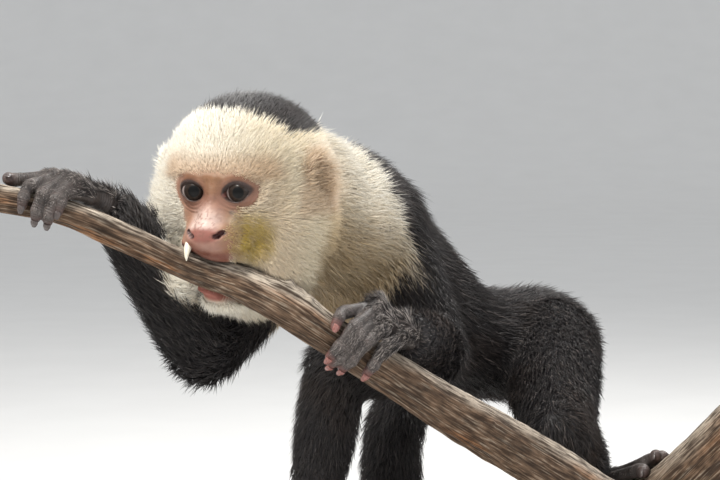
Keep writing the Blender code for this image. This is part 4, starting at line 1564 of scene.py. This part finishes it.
@dataclass
class Roots:
    """Where locks of hair start on the skin."""

    points: Array
    normals: Array

    @staticmethod
    def scatter(points: Array, faces: Array, spacing: Array, random: Chance) -> "Roots":
        """Strews roots over triangles.

        Args:
            points: The mesh's points.
            faces: Its triangles.
            spacing: The wanted number for each square metre, at each triangle.
            random: Where chance comes from.

        Returns:
            The roots.
        """
        a, b, c = (points[faces[:, k]] for k in range(3))
        want = areas(points, faces) * spacing
        count = np.floor(want + random.random(len(want))).astype(int)
        face = np.repeat(np.arange(len(faces)), count)
        u, v = random.random(len(face)), random.random(len(face))
        flip = u + v > 1
        u, v = np.where(flip, 1 - u, u), np.where(flip, 1 - v, v)
        spot = a[face] + (b[face] - a[face]) * u[:, None] + (c[face] - a[face]) * v[:, None]
        normals = point_normals(points, faces)
        n = [normals[faces[face, k]] for k in range(3)]
        normal = n[0] * (1 - u - v)[:, None] + n[1] * u[:, None] + n[2] * v[:, None]
        return Roots(spot, unit(normal))

    def chosen(self, keep: Array) -> "Roots":
        """The roots that keep says."""
        return Roots(self.points[keep], self.normals[keep])


@dataclass
class Locks:
    """Locks of hair, each a bent spindle with three sides: a root, a ring of three points and a tip.

    Lengths and widths are in metres. Lift is how far a lock stands off the skin, as an angle in radians,
    and wild how far it strays from the flow. Chart is its place on the bake map, and patch its breadth there.
    """

    roots: Roots
    flow: Array
    length: Array
    width: Array
    lift: Array
    wild: Array
    base: Array
    tip: Array
    chart: Array
    sunk: float = 0.0006
    patch: float = 0.003

    def build(self, name: str, random: Chance, material: Material) -> Thing:
        """Makes one mesh of all locks.

        Args:
            name: The piece's name.
            random: Where chance comes from.
            material: Its finish.

        Returns:
            The piece, with its bake map.
        """
        p, n = self.roots.points, self.roots.normals
        count = len(p)
        flow = self.flow + 0.55 * self.wild[:, None] * random.standard_normal((count, 3))
        for axis in range(3):
            flow[:, axis] += self.wild * noise(p, 0.012, 61 + axis, 2)
        flow = laid(flow, n)
        rise = np.clip(self.lift * (1 + 0.22 * random.standard_normal(count)), 0.06, 1.1)
        first = flow * np.cos(rise * 1.35)[:, None] + n * np.sin(rise * 1.35)[:, None]
        sway = 0.16 * random.standard_normal(count)[:, None]
        second = flow * np.cos(rise * 0.65)[:, None] + n * np.sin(rise * 0.65)[:, None]
        second = unit(second + np.cross(flow, n) * sway)
        length = self.length * (1 + 0.2 * random.standard_normal(count)).clip(0.5, 1.45)
        root = p - n * self.sunk
        middle = root + first * (length * 0.4)[:, None]
        end = middle + second * (length * 0.6)[:, None]
        across = unit(np.cross(first, n))
        ridge = np.cross(across, first)
        wide = (self.width * (0.75 + 0.5 * random.random(count)))[:, None]
        under = ridge * wide * 0.12
        rows = [root, middle - across * wide / 2 - under, middle + across * wide / 2 - under]
        rows += [middle + ridge * wide * 0.34, end]
        pattern = np.array([[3, 2, 4], [2, 1, 4], [1, 3, 4], [2, 3, 0], [1, 2, 0], [3, 1, 0]])
        faces = (np.arange(count)[:, None, None] * 5 + pattern[None]).reshape(-1, 3)
        halfway = self.base * 0.5 + self.tip * 0.5
        tone = np.stack([self.base, halfway, halfway, halfway, self.tip], axis=1).reshape(-1, 3)
        obj = mesh_object(name, np.stack(rows, axis=1).reshape(-1, 3), faces, np.clip(tone, 0, 1))
        corner = np.array([[0, -1], [-1, 0], [1, 0], [0, 0.2], [0, 1]]) * self.patch / 2
        spots = 0.004 + 0.992 * np.mod(self.chart, 1.0)
        spread = (spots[:, None, :] + corner[None]).reshape(-1, 2)
        layer = obj.data.uv_layers.new(name="OFBake")
        layer.data.foreach_set("uv", np.clip(spread, 0, 1)[faces.ravel()].astype(np.float32).ravel())
        obj.data.materials.append(material)
        return obj


class Ground(Enum):
    """The surfaces that locks are rooted on."""

    BODY = 0
    FACE = 1
    EAR = 2


@dataclass
class Coat:
    """The whole coat, in pieces by region."""

    body: Body
    skin: Skin
    total: int = 226000
    most: int = 32500
    seed: int = 7
    on_hands: float = 2.4e6
    on_feet: float = 1.1e6

    def sheet(self, place: Place, region: Region) -> Array:
        """Each root's place on an unwrap of its region: round it and along it."""
        if region is Region.HEAD:
            q = unit(place.local - (0.0, -2.0, -6.0))
            turn, rise = np.arctan2(q[:, 0], q[:, 1]), np.arcsin(np.clip(q[:, 2], -1, 1))
            return np.stack([turn / TAU + 0.5, rise / math.pi + 0.5], axis=1)
        line, _ = self.body.lines[region]
        t = place.t(region)
        at = t * (len(line) - 1)
        low = np.minimum(at.astype(int), len(line) - 2)
        middle = line[low] + (line[low + 1] - line[low]) * (at - low)[:, None]
        along = unit(line[low + 1] - line[low])
        off = unit(place.points - middle)
        side = unit(np.cross(along, (0.1, 0.25, 0.96)))
        up = np.cross(side, along)
        turn = np.arctan2(np.sum(off * up, axis=1), np.sum(off * side, axis=1))
        return np.stack([turn / TAU + 0.5, t], axis=1)

    def thickness(self, place: Place) -> Array:
        """How closely locks stand, by region; only the ratios matter."""
        head, trunk = place.share(Region.HEAD), place.share(Region.TRUNK)
        front = smooth(0.5, 0.22, place.t(Region.TRUNK))
        value = 0.55 + 3 * head + 1.9 * smooth(4, 26, place.local[:, 1]) * head + 0.85 * trunk * front
        value += 0.12 * (1 - head - trunk - place.share(Region.TAIL))
        return value * (1 - smooth(0.35, 0.9, place.bare()))

    def style(self, place: Place) -> dict[str, Array]:
        """Length, width, lift and disorder of the locks."""
        head, trunk, tail = (place.share(r) for r in (Region.HEAD, Region.TRUNK, Region.TAIL))
        _, forward, up = place.local.T
        arm, arm_t = place.limb(Region.ARM_L, Region.ARM_R)
        leg, leg_t = place.limb(Region.LEG_L, Region.LEG_R)
        face = smooth(2, 30, forward)
        cheek = smooth(6, -22, up) * smooth(34, 14, forward)
        crown = 9 - 2.4 * face
        on_head = crown + 4.5 * cheek
        edge = smooth(1, 0, place.bare())
        on_head = on_head * (0.28 + 0.72 * edge * smooth(54, 30, forward))
        on_trunk = 17 - 3.5 * smooth(0.45, 0.75, place.t(Region.TRUNK))
        on_arm = 14 - 4 * smooth(0.25, 0.66, arm_t)
        on_leg = 13 - 6 * smooth(0.25, 0.66, leg_t)
        length = (head * on_head + trunk * on_trunk + arm * on_arm + leg * on_leg + tail * 14) * MM
        total = head + trunk + arm + leg + tail
        length = length / np.maximum(total, 0.5)
        width = 0.6 - 0.25 * head - 0.11 * face * head
        width = (width - 0.1 * trunk * smooth(0.5, 0.25, place.t(Region.TRUNK))) * MM
        width = width - 0.1 * MM * (arm * smooth(0.3, 0.66, arm_t) + leg * smooth(0.3, 0.66, leg_t))
        lift = np.arcsin(np.clip((place.depth() + 0.0009) / np.maximum(length * 0.95, 0.001), 0.1, 0.7))
        return {"length": length, "width": width, "lift": lift, "wild": 0.2 - 0.06 * head}

    def colours(self, place: Place, random: Chance) -> tuple[Array, Array]:
        """Root and tip colours of each lock, by the markings, with painted shade on the head's left side and
        under the jaw, and painted sheen on the black coat.
        """
        count = len(place.points)
        head = place.share(Region.HEAD)
        left, forward, up = place.local.T
        pale = random.random(count) < smooth(0.22, 0.78, place.whiteness())
        # warm: the tan of the throat, chest and cheek stain, partly painted shade under the jaw.
        warm = np.clip(place.tan_and_shade() + 0.1 * random.standard_normal(count), 0, 1)
        # Cream at random and on the tan; the head's white also turns cream towards its left side, away from
        # the light, as painted shade.
        cream = 0.3 * random.random(count) + 0.4 * warm + 0.46 * head * smooth(-6, 34, left)
        white = mix(self.body.white, self.body.cream, np.clip(cream, 0, 1))
        white = mix(white, self.body.tan, 0.85 * warm**1.5)
        brow = smooth(25, 13, up) * smooth(3, 9, up) * smooth(22, 32, forward) * head
        temple = 0.45 * smooth(8, 16, left) * smooth(12, 4, up) * smooth(20, 32, forward) * head
        white = mix(white, (0.62, 0.42, 0.26), 0.72 * np.maximum(brow, temple))
        # Painted shade: the white on the left side of the head, below the ear, turns tan.
        flank_shade = smooth(20, 34, left) * smooth(26, 10, up) * smooth(-24, -6, up)
        flank_shade *= smooth(24, 6, forward)
        white = mix(white, (0.58, 0.42, 0.29), 0.45 * flank_shade * head)
        lobe = smooth(38, 42, left) * smooth(20, 14, np.abs(up - 3))
        lobe = lobe * smooth(-8, 0, forward) * head
        white = mix(white, (0.6, 0.42, 0.28), 0.6 * lobe)
        streak = 0.75 + 0.45 * noise(place.points * (1.0, 1.0, 0.4), 0.0035, 73)
        streak += 0.25 * random.standard_normal(count)
        stained = 0.9 * streak * place.stain(12.5, 16.0, 23.0) * head
        white = mix(white, (0.58, 0.42, 0.05), np.clip(stained, 0, 0.95))
        border = smooth(0.98, 0.45, place.whiteness()) * (1 - head)
        white = mix(white, (0.3, 0.262, 0.225), 0.75 * border)
        verge = smooth(0, 0.3, place.bare()) * smooth(6, 12, left) * smooth(3, -5, up)
        white = mix(white, (0.44, 0.3, 0.15), 0.75 * verge * head)
        dark = mix(self.body.black, self.body.smoke, random.random(count) ** 2)
        rust = smooth(0.1, 0.6, noise(place.points, 0.03, 71))
        dark = mix(dark, (0.06, 0.038, 0.026), 0.3 * rust)
        # Painted sheen: some black locks on the trunk and the left leg are lightened to stand in for light
        # glancing off the coat; on the left forearm the lightened locks are partly its grizzled hair and
        # partly painted sheen.
        grey = 0.1 * (place.share(Region.TRUNK) + place.share(Region.LEG_L))
        grey += 0.34 * place.share(Region.ARM_L) * smooth(0.25, 0.5, place.t(Region.ARM_L))
        grizzle_and_sheen_locks = random.random(count) < grey
        dark = np.where(grizzle_and_sheen_locks[:, None], dark * 2.6 + (0.04, 0.032, 0.026), dark)
        shade = (1 + 0.07 * random.standard_normal(count))[:, None]
        tip = np.where(pale[:, None], white, dark) * shade
        root = np.where(pale[:, None], white * (0.92, 0.88, 0.82), dark * 0.6)
        return root, tip

    def rooted(self, ground: Ground, middle: Place) -> Array:
        """How closely locks stand on the triangles of one ground, given by their middles."""
        face, share = self.skin.face, self.thickness(middle)
        border = face.border(middle.local)
        if ground is Ground.EAR:
            return np.where(np.abs(middle.local[:, 0]) > 40.0, 2.4, 0.0)
        if ground is Ground.FACE:
            return np.where((border > 0.975) | (middle.local[:, 1] > 58), 0.0, share)
        under = (border < 0.91) & (middle.share(Region.HEAD) > 0.3)
        under[under] = face.outside(middle.local[under]) < 1.0
        return np.where(under, 0.0, share)

    def roots(self, random: Chance) -> Roots:
        """Strews roots over the body, over the furred part of the face and over the ears."""
        face = self.skin.face
        grounds = [(Ground.BODY, self.skin.guide), (Ground.FACE, face.grid)]
        grounds += [(Ground.EAR, ear) for ear in self.skin.ears]
        sources = []
        for ground, (points, faces) in grounds:
            share = self.rooted(ground, self.body.place(points[faces].mean(axis=1)))
            sources.append((points, faces, share, float((areas(points, faces) * share).sum())))
        scale = self.total / sum(source[3] for source in sources)
        found = [Roots.scatter(points, faces, share * scale, random) for points, faces, share, _ in sources]
        roots = Roots(np.vstack([r.points for r in found]), np.vstack([r.normals for r in found]))
        free = np.ones(len(roots.points), bool)
        for perch in PERCHES.values():
            free &= perch.outside(roots.points) > 0.0008
        for sign in (1, -1):
            free &= np.linalg.norm(HEAD.local(roots.points) - face.eye(sign), axis=1) > face.eye_radius + 1.6
        return roots.chosen(free)

    def build(self) -> list[Thing]:
        """Grows the coat.

        Returns:
            Its pieces.
        """
        random = np.random.default_rng(self.seed)
        material = CoatFinish().material()
        roots = self.roots(random)
        place = self.body.place(roots.points)
        style = self.style(place)
        flow = laid(place.flow, roots.normals)
        end = roots.points + flow * style["length"][:, None] * 0.9 + roots.normals * place.depth()[:, None]
        for perch in PERCHES.values():
            blocked = np.minimum(perch.outside(end), perch.outside((end + roots.points) / 2)) < 0.0012
            style["length"] = np.where(blocked, style["length"] * 0.4, style["length"])
        base, tip = self.colours(place, random)
        main = place.weight.argmax(axis=0)
        pieces = []
        for region in Region:
            rows = np.flatnonzero(main == region.value)
            rows = rows[np.argsort(place.t(region)[rows], kind="stable")]
            for number, chunk in enumerate(np.array_split(rows, math.ceil(len(rows) / self.most)), 1):
                looks = [style[key][chunk] for key in ("length", "width", "lift", "wild")]
                chart = self.sheet(place.chosen(chunk), region)
                locks = Locks(roots.chosen(chunk), flow[chunk], *looks, base[chunk], tip[chunk], chart)
                pieces.append(self.keep(locks, f"coat_{region.name.lower()}_{number}", random, material))
        pieces += self.paw_hair(random, material)
        return pieces

    def keep(self, locks: Locks, name: str, random: Chance, material: Material) -> Thing:
        """Builds locks as a piece of the frame."""
        piece = locks.build(name, random, material)
        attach(piece, "root")
        LOG.info("%s: %d locks", name, len(locks.length))
        return piece

    def paw_hair(self, random: Chance, material: Material) -> list[Thing]:
        """Short greyish hair on the backs of the hands and feet."""
        pieces = []
        for paw in self.skin.paws:
            points, faces = paw.surface
            closeness = self.on_hands if "hand" in paw.name else self.on_feet
            roots = Roots.scatter(points, faces, np.full(len(faces), closeness), random)
            tips = np.min([np.linalg.norm(roots.points - rows[-1], axis=1) for rows in paw.digits], axis=0)
            facing = np.sum(paw.off_bark(roots.points) * roots.normals, axis=1)
            chance = smooth(-0.15, 0.35, facing) * smooth(0.0055, 0.012, tips)
            free = paw.perch.outside(roots.points) > 0.003
            roots = roots.chosen((random.random(len(tips)) < chance) & free)
            phase, _, way = paw.along(roots.points)
            count = len(phase)
            back = smooth(42, 22, phase)
            flow = laid(way, roots.normals)
            dark = np.array([0.034, 0.029, 0.028]) * (1 + 0.5 * random.random((count, 1)))
            pale = np.array([0.4, 0.355, 0.325]) * (0.7 + 0.5 * random.random((count, 1)))
            share = 0.56 if paw.name == "hand_L" else 0.4
            light = random.random(count) < share - 0.2 * back
            tone = np.where(light[:, None], pale, dark)
            off = roots.points - paw.palm()
            turn = np.arctan2(off[:, 2], off[:, 0]) / TAU + 0.5
            chart = np.stack([np.mod(phase / 90, 1.0), turn], axis=1)
            length, width = (3 + 5 * back) * MM, (0.26 + 0.14 * back) * MM
            lift, wild = np.full(count, 0.24), np.full(count, 0.22)
            locks = Locks(roots, flow, length, width, lift, wild, tone * 0.8, tone, chart)
            pieces.append(self.keep(locks, f"coat_{paw.name}", random, material))
        return pieces


# ---- eyes, tooth, nails


@dataclass
class Eye:
    """An eye that looks a little to the animal's left."""

    sign: int
    face: Face
    gaze: Triple = (0.2, 0.975, 0.05)
    iris: float = 0.74
    pupil: float = 0.36
    around: int = 72

    def build(self) -> Thing:
        """Builds the ball with its clear bulge, coloured from pupil to white."""
        name = "eye_L" if self.sign > 0 else "eye_R"
        gaze = unit(np.array(self.gaze))
        side = unit(np.cross(gaze, (0, 0, 1.0)))
        up = np.cross(side, gaze)
        rings = np.concatenate([np.linspace(0.0, 1.0, 60)[1:], np.linspace(1.0, math.pi, 26)[1:-1]])
        n = self.around
        turns = np.arange(n) * TAU / n
        polar, turn = np.meshgrid(rings, turns, indexing="ij")
        direction = (
            np.cos(polar)[..., None] * gaze
            + (np.sin(polar) * np.cos(turn))[..., None] * side
            + (np.sin(polar) * np.sin(turn))[..., None] * up
        ).reshape(-1, 3)
        polar, turn = polar.ravel(), turn.ravel()
        direction = np.vstack([direction, gaze, -gaze])
        polar, turn = np.append(polar, [0.0, math.pi]), np.append(turn, [0.0, 0.0])
        radius = self.face.eye_radius * (1 + 0.045 * smooth(self.iris + 0.06, 0.15, polar))
        points = HEAD.world(self.face.eye(self.sign) + direction * radius[:, None])
        rows = len(rings)
        fan = np.arange(n)
        front = np.stack([np.full(n, rows * n), fan, (fan + 1) % n], axis=-1)
        last = (rows - 1) * n
        back = np.stack([np.full(n, rows * n + 1), last + (fan + 1) % n, last + fan], axis=-1)
        faces = np.vstack([halved(ring_faces(rows, n)), front, back])
        rays = noise(np.stack([np.cos(turn) * 3, np.sin(turn) * 3, polar * 1.5], axis=1), 0.22, 81, 3)
        brown = np.array([0.024, 0.016, 0.012]) * (1 + 0.55 * rays[:, None])
        colour = mix((0.3, 0.24, 0.22), brown, smooth(self.iris + 0.05, self.iris - 0.03, polar))
        colour = mix(colour, (0.018, 0.011, 0.009), 0.9 * bell(polar, self.iris, 0.07))
        colour = mix(colour, (0.004, 0.004, 0.004), smooth(self.pupil + 0.03, self.pupil - 0.02, polar))
        obj = mesh_object(name + "_ball", points, faces, np.clip(colour, 0, 1))
        face_outward(obj)
        obj.data.materials.append(EyeFinish().material())
        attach(obj, "root")
        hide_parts(name)
        return obj


@dataclass
class Trim:
    """The nails of the four paws and the canine tooth that shows."""

    canine_side: float = -13.8
    canine_up: float = -27.0
    canine_length: float = 8.8

    def nails(self) -> list[Thing]:
        """One object of five nails for each paw."""
        out = []
        rosy = HornFinish("nail_rosy", (0.17, 0.055, 0.046), (0.3, 0.125, 0.1), 0.34).material()
        dark = HornFinish("nail_dark", (0.036, 0.027, 0.025), (0.085, 0.062, 0.056), 0.4).material()
        for name in PAWS:
            shells = [mesh_object("nail", *shell) for shell in Paw(name).nails()]
            obj = joined(f"nails_{name}", shells)
            face_outward(obj)
            obj.data.materials.append(rosy if name == "hand_L" else dark)
            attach(obj, "root")
            out.append(obj)
        return out

    def tooth(self) -> Thing:
        """The upper right canine: a curved, tapering crown."""
        root = np.array([self.canine_side, 47.6, self.canine_up + 2.2])
        tip = np.array([self.canine_side - 0.4, 52.6, self.canine_up + 1 - self.canine_length])
        t = np.linspace(0, 1, 14)[:, None]
        line = root + (tip - root) * t + np.array([0, 1.5, 0]) * (4 * t * (1 - t))
        radii = np.interp(t[:, 0], [0, 0.35, 0.8, 1], [2.3, 2.1, 1.05, 0.36])
        points, faces = tube(HEAD.world(line), radii * MM, 20)
        obj = mesh_object("canine_R_crown", points, faces)
        face_outward(obj)
        ivory = HornFinish("tooth", (0.8, 0.72, 0.55), (0.88, 0.83, 0.7), 0.22)
        obj.data.materials.append(ivory.material())
        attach(obj, "root")
        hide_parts("canine_R")
        return obj


# ---- perch and stand


@dataclass
class Bark:
    """A cut length of branch: furrowed bark, knots and sawn ends.

    Each knot is its place along the branch, its angle round it, its breadth and its height.
    """

    name: str
    stations: tuple
    around: int = 96
    furrow: float = 0.0012
    knots: tuple = ()

    def build(self) -> Thing:
        """Builds the branch."""
        line, radii = refined(self.stations, 22)
        radii = radii[:, 0]
        along = unit(np.gradient(line, axis=0))
        length = np.concatenate([[0], np.cumsum(np.linalg.norm(np.diff(line, axis=0), axis=1))])
        side = unit(np.cross(along[0], (0.0, 0.0, 1.0)))
        turns = np.arange(self.around) * TAU / self.around
        frames = []
        for direction in along:
            side = unit(side - direction * (side @ direction))
            frames.append((side, np.cross(direction, side)))
        s = np.repeat(length, self.around)
        turn = np.tile(turns, len(line))
        ring = np.stack([np.cos(turn), np.sin(turn), np.zeros_like(turn)], axis=1)
        r = np.repeat(radii, self.around)
        grain = ring * (r / 0.0016)[:, None]
        grain[:, 2] = s / 0.022
        ridges = noise(grain, 1.0, 91, 3)
        broad = noise(np.stack([ring[:, 0], ring[:, 1], s / 0.03], axis=1), 1.0, 92, 2)
        patch = noise(np.stack([ring[:, 0] * 1.4, ring[:, 1] * 1.4, s / 0.045], axis=1), 1.0, 93, 2)
        height = self.furrow * ridges + 0.0007 * broad
        for place, angle, breadth, rise in self.knots:
            knot_side = np.array([math.cos(math.radians(angle)), math.sin(math.radians(angle))])
            round_it = np.arccos(np.clip(ring[:, :2] @ knot_side, -1, 1)) * r
            away = np.hypot((s - place * length[-1]) / breadth, round_it / breadth)
            height += rise * np.exp(-(away**2)) * (1 + 0.4 * np.cos(away * 5))
        middle = np.repeat(line, self.around, axis=0)
        one = np.repeat(np.array([f[0] for f in frames]), self.around, axis=0)
        two = np.repeat(np.array([f[1] for f in frames]), self.around, axis=0)
        outward = one * np.cos(turn)[:, None] + two * np.sin(turn)[:, None]
        points = middle + outward * (r + height - 0.0002)[:, None]
        n = self.around
        rows = len(line)
        faces = [ring_faces(rows, n)[:, [0, 3, 2, 1]]]
        tone = self.tones(points, outward, ridges, patch)
        marks = [grain]
        for end, step in ((0, -1), (rows - 1, 1)):
            ring_index = end * n + np.arange(n)
            inner = ring_index
            for share, push in ((0.93, 0.3), (0.7, 0.36), (0.4, 0.38), (0.08, 0.39)):
                start = len(points)
                spot = line[end] + (points[ring_index] - line[end]) * share
                spot = spot + along[end] * step * radii[end] * push * 0.5
                spot = spot + along[end] * 0.0005 * noise(spot, 0.003, 95)[:, None]
                points = np.vstack([points, spot])
                growth = 0.5 + 0.5 * np.sin(share * 42)
                wood = np.array([0.4, 0.3, 0.2]) * (0.75 + 0.3 * growth)
                tone = np.vstack([tone, np.tile(wood, (n, 1))])
                marks.append(spot / 0.004)
                new = np.arange(start, start + n)
                quad = np.stack([inner, np.roll(inner, -1), np.roll(new, -1), new], axis=-1)
                faces.append(quad if step > 0 else quad[:, ::-1])
                inner = new
            centre = len(points)
            points = np.vstack([points, points[inner].mean(axis=0)])
            tone = np.vstack([tone, [[0.26, 0.19, 0.13]]])
            marks.append(points[-1:] / 0.004)
            fan = np.stack([inner, np.roll(inner, -1), np.full(n, centre), np.full(n, centre)], axis=-1)
            faces.append(fan if step > 0 else fan[:, [1, 0, 2, 3]])
        quads = np.vstack(faces)
        tris = np.vstack([quads[:, [0, 1, 2]], quads[quads[:, 2] != quads[:, 3]][:, [0, 2, 3]]])
        obj = mesh_object(self.name + "_bark", points, tris, np.clip(tone, 0, 1))
        keep_vectors(obj.data, "grain", np.vstack(marks))
        obj.data.materials.append(BarkFinish().material())
        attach(obj, "root")
        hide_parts(self.name)
        return obj

    def tones(self, points: Array, outward: Array, ridges: Array, patch: Array) -> Array:
        """Grey-brown bark, pale on top as painted light, rusty where it has flaked, and dark in its furrows
        as painted shade.
        """
        upward = outward[:, 2]
        # Painted light: the bark turns pale where it faces up.
        base = mix((0.165, 0.103, 0.064), (0.6, 0.52, 0.42), 0.9 * smooth(0.2, 0.85, upward + 0.4 * patch))
        base = mix(base, (0.34, 0.155, 0.065), 0.7 * smooth(0.15, 0.45, patch) * smooth(0.7, 0.2, upward))
        # Painted shade: the furrows are darkened.
        base = mix(base, (0.045, 0.03, 0.021), 0.9 * smooth(0, -0.4, ridges))
        return base * (1 + 0.16 * noise(points, 0.004, 97, 3)[:, None])


@dataclass
class Stand:
    """The plain display stand."""

    edge: float = 0.0035
    corner: float = 0.012
    collar: float = 0.002
    collar_height: float = 0.0192

    def build(self) -> list[Thing]:
        """Builds base and rods."""
        finish = StandFinish()
        low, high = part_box("stand_base")
        bpy.ops.mesh.primitive_cube_add(size=1.0, location=(low + high) / 2)
        base = bpy.context.active_object
        base.name = "stand_base_board"
        base.scale = high - low
        bpy.ops.object.transform_apply(location=True, rotation=False, scale=True)
        builder = bmesh.new()
        builder.from_mesh(base.data)
        upright = [e for e in builder.edges if abs(e.verts[0].co.z - e.verts[1].co.z) > (high - low).z / 2]
        bmesh.ops.bevel(builder, geom=upright, offset=self.corner, segments=8, affect="EDGES", profile=0.5)
        top = [e for e in builder.edges if min(v.co.z for v in e.verts) > high.z - 1e-5]
        rim = [e for e in top if any(abs(f.normal.z) < 0.5 for f in e.link_faces)]
        bmesh.ops.bevel(builder, geom=rim, offset=self.edge, segments=4, affect="EDGES", profile=0.5)
        builder.to_mesh(base.data)
        builder.free()
        pieces = [(base, finish.wood(), "stand_base", "stand_wood")]
        steel = finish.steel()
        for node in ("stand_rod_1", "stand_rod_2"):
            low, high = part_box(node)
            middle, size = (low + high) / 2, high - low
            radius = size.x / 2
            bpy.ops.mesh.primitive_cylinder_add(vertices=40, radius=radius, depth=size.z, location=middle)
            rod = bpy.context.active_object
            bpy.ops.mesh.primitive_torus_add(
                location=(middle.x, middle.y, self.collar_height),
                major_radius=radius + self.collar + 0.0002,
                minor_radius=self.collar,
                major_segments=40,
            )
            collar = bpy.context.active_object
            rod = joined(node + "_rod", [rod, collar])
            bpy.ops.object.transform_apply(location=True, rotation=True, scale=True)
            pieces.append((rod, steel, node, "stand_steel"))
        out = []
        for obj, material, node, slot in pieces:
            obj.data.materials.clear()
            obj.data.materials.append(material)
            select_only(obj)
            bpy.ops.object.shade_smooth_by_angle(angle=math.radians(35))
            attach(obj, "root")
            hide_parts(node)
            out.append(obj)
        return out


# ---- studio


def facing(place: Vector, way: Vector) -> Matrix:
    """Where a light or a camera stands, turned to look that way."""
    return Matrix.Translation(place) @ way.to_track_quat("-Z", "Y").to_matrix().to_4x4()


@dataclass
class Studio:
    """Plain pale floor, soft lights and the camera."""

    aim: Triple = (-0.05, -0.23, 0.36)
    lit: Triple = (-0.05, -0.08, 0.28)
    distance: float = 1.2
    pitch: float = 4.0
    lens: float = 108.0

    def floor(self) -> None:
        """A wide pale floor that curves up far behind the animal."""
        turns = np.radians(np.linspace(0, 90, 24))
        bend = [(6.0 + 4.0 * math.sin(a), 4.0 - 4.0 * math.cos(a)) for a in turns]
        run = [(-8.0, 0.0), *bend, (10.0, 12.0)]
        points = np.array([(x, y, z) for y, z in run for x in (-14.0, 14.0)])
        first = np.arange(len(run) - 1) * 2
        faces = np.stack([first, first + 1, first + 3, first + 2], axis=1)
        floor = mesh_object("floor", points, faces)
        s = Shader("floor")
        grain = s.texture(8.0, 2.0)
        floor.data.materials.append(
            s.finish(
                Base_Color=s.ramp(grain, (0.2, (0.74, 0.735, 0.72)), (0.8, (0.77, 0.765, 0.75))),
                Roughness=0.8,
            )
        )

    def light(self, name: str, place: tuple, size: float, power: float, colour: Colour) -> None:
        """An area light that faces the animal."""
        data = bpy.data.lights.new(name, "AREA")
        data.shape = "DISK"
        data.size = size
        data.energy = power
        data.color = colour
        obj = bpy.data.objects.new(name, data)
        bpy.context.scene.collection.objects.link(obj)
        obj.matrix_world = facing(Vector(place), Vector(self.lit) - Vector(place))

    def build(self) -> None:
        """Sets floor, lights, world and camera."""
        self.floor()
        self.light("key", (-0.75, -0.8, 1.55), 0.4, 28.0, (1.0, 0.975, 0.93))
        self.light("fill", (1.4, -1.6, 0.9), 1.4, 11.0, (0.95, 0.97, 1.0))
        self.light("rim", (0.6, 0.9, 1.7), 0.6, 30.0, (1.0, 0.985, 0.96))
        world = bpy.data.worlds.new("studio")
        bpy.context.scene.world = world
        world.use_nodes = True
        sky = world.node_tree.nodes["Background"].inputs
        sky["Color"].default_value = (0.93, 0.95, 0.98, 1.0)
        sky["Strength"].default_value = 0.72
        pitch = math.radians(self.pitch)
        forward = Vector((0, math.cos(pitch), -math.sin(pitch)))
        data = bpy.data.cameras.new("camera")
        data.lens = self.lens
        data.sensor_width = 36.0
        data.clip_start = 0.01
        camera = bpy.data.objects.new("camera", data)
        bpy.context.scene.collection.objects.link(camera)
        place = Vector(self.aim) - self.distance * forward
        camera.matrix_world = facing(place, forward)
        bpy.context.scene.camera = camera
        bpy.context.scene.view_settings.view_transform = "Standard"


def main() -> None:
    """Builds every piece in order."""
    logging.basicConfig(level=logging.INFO, format="%(message)s")
    for obj in bpy.context.selected_objects:
        obj.select_set(False)
    body = Body()
    face = Face()
    skin = Skin(body, face)
    LOG.info("skin: %d faces", len(skin.build().data.polygons))
    Coat(body, skin).build()
    for sign in (1, -1):
        LOG.info("eye: %s", Eye(sign, face).build().name)
    trim = Trim()
    LOG.info("nails: %d", len(trim.nails()))
    LOG.info("tooth: %s", trim.tooth().name)
    knots = (
        (0.3, 285, 0.0062, 0.0026),
        (0.322, 300, 0.0052, 0.002),
        (0.55, 330, 0.007, 0.002),
        (0.8, 20, 0.009, 0.0024),
    )
    branch = Bark("perch_branch", BRANCH, knots=knots)
    limb = Bark("perch_limb", LIMB, around=120, knots=((0.3, 40, 0.012, 0.003),))
    for piece in (branch, limb):
        LOG.info("perch: %s", piece.build().name)
    LOG.info("stand: %d pieces", len(Stand().build()))
    Studio().build()
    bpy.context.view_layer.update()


if __name__ == "__main__":
    main()
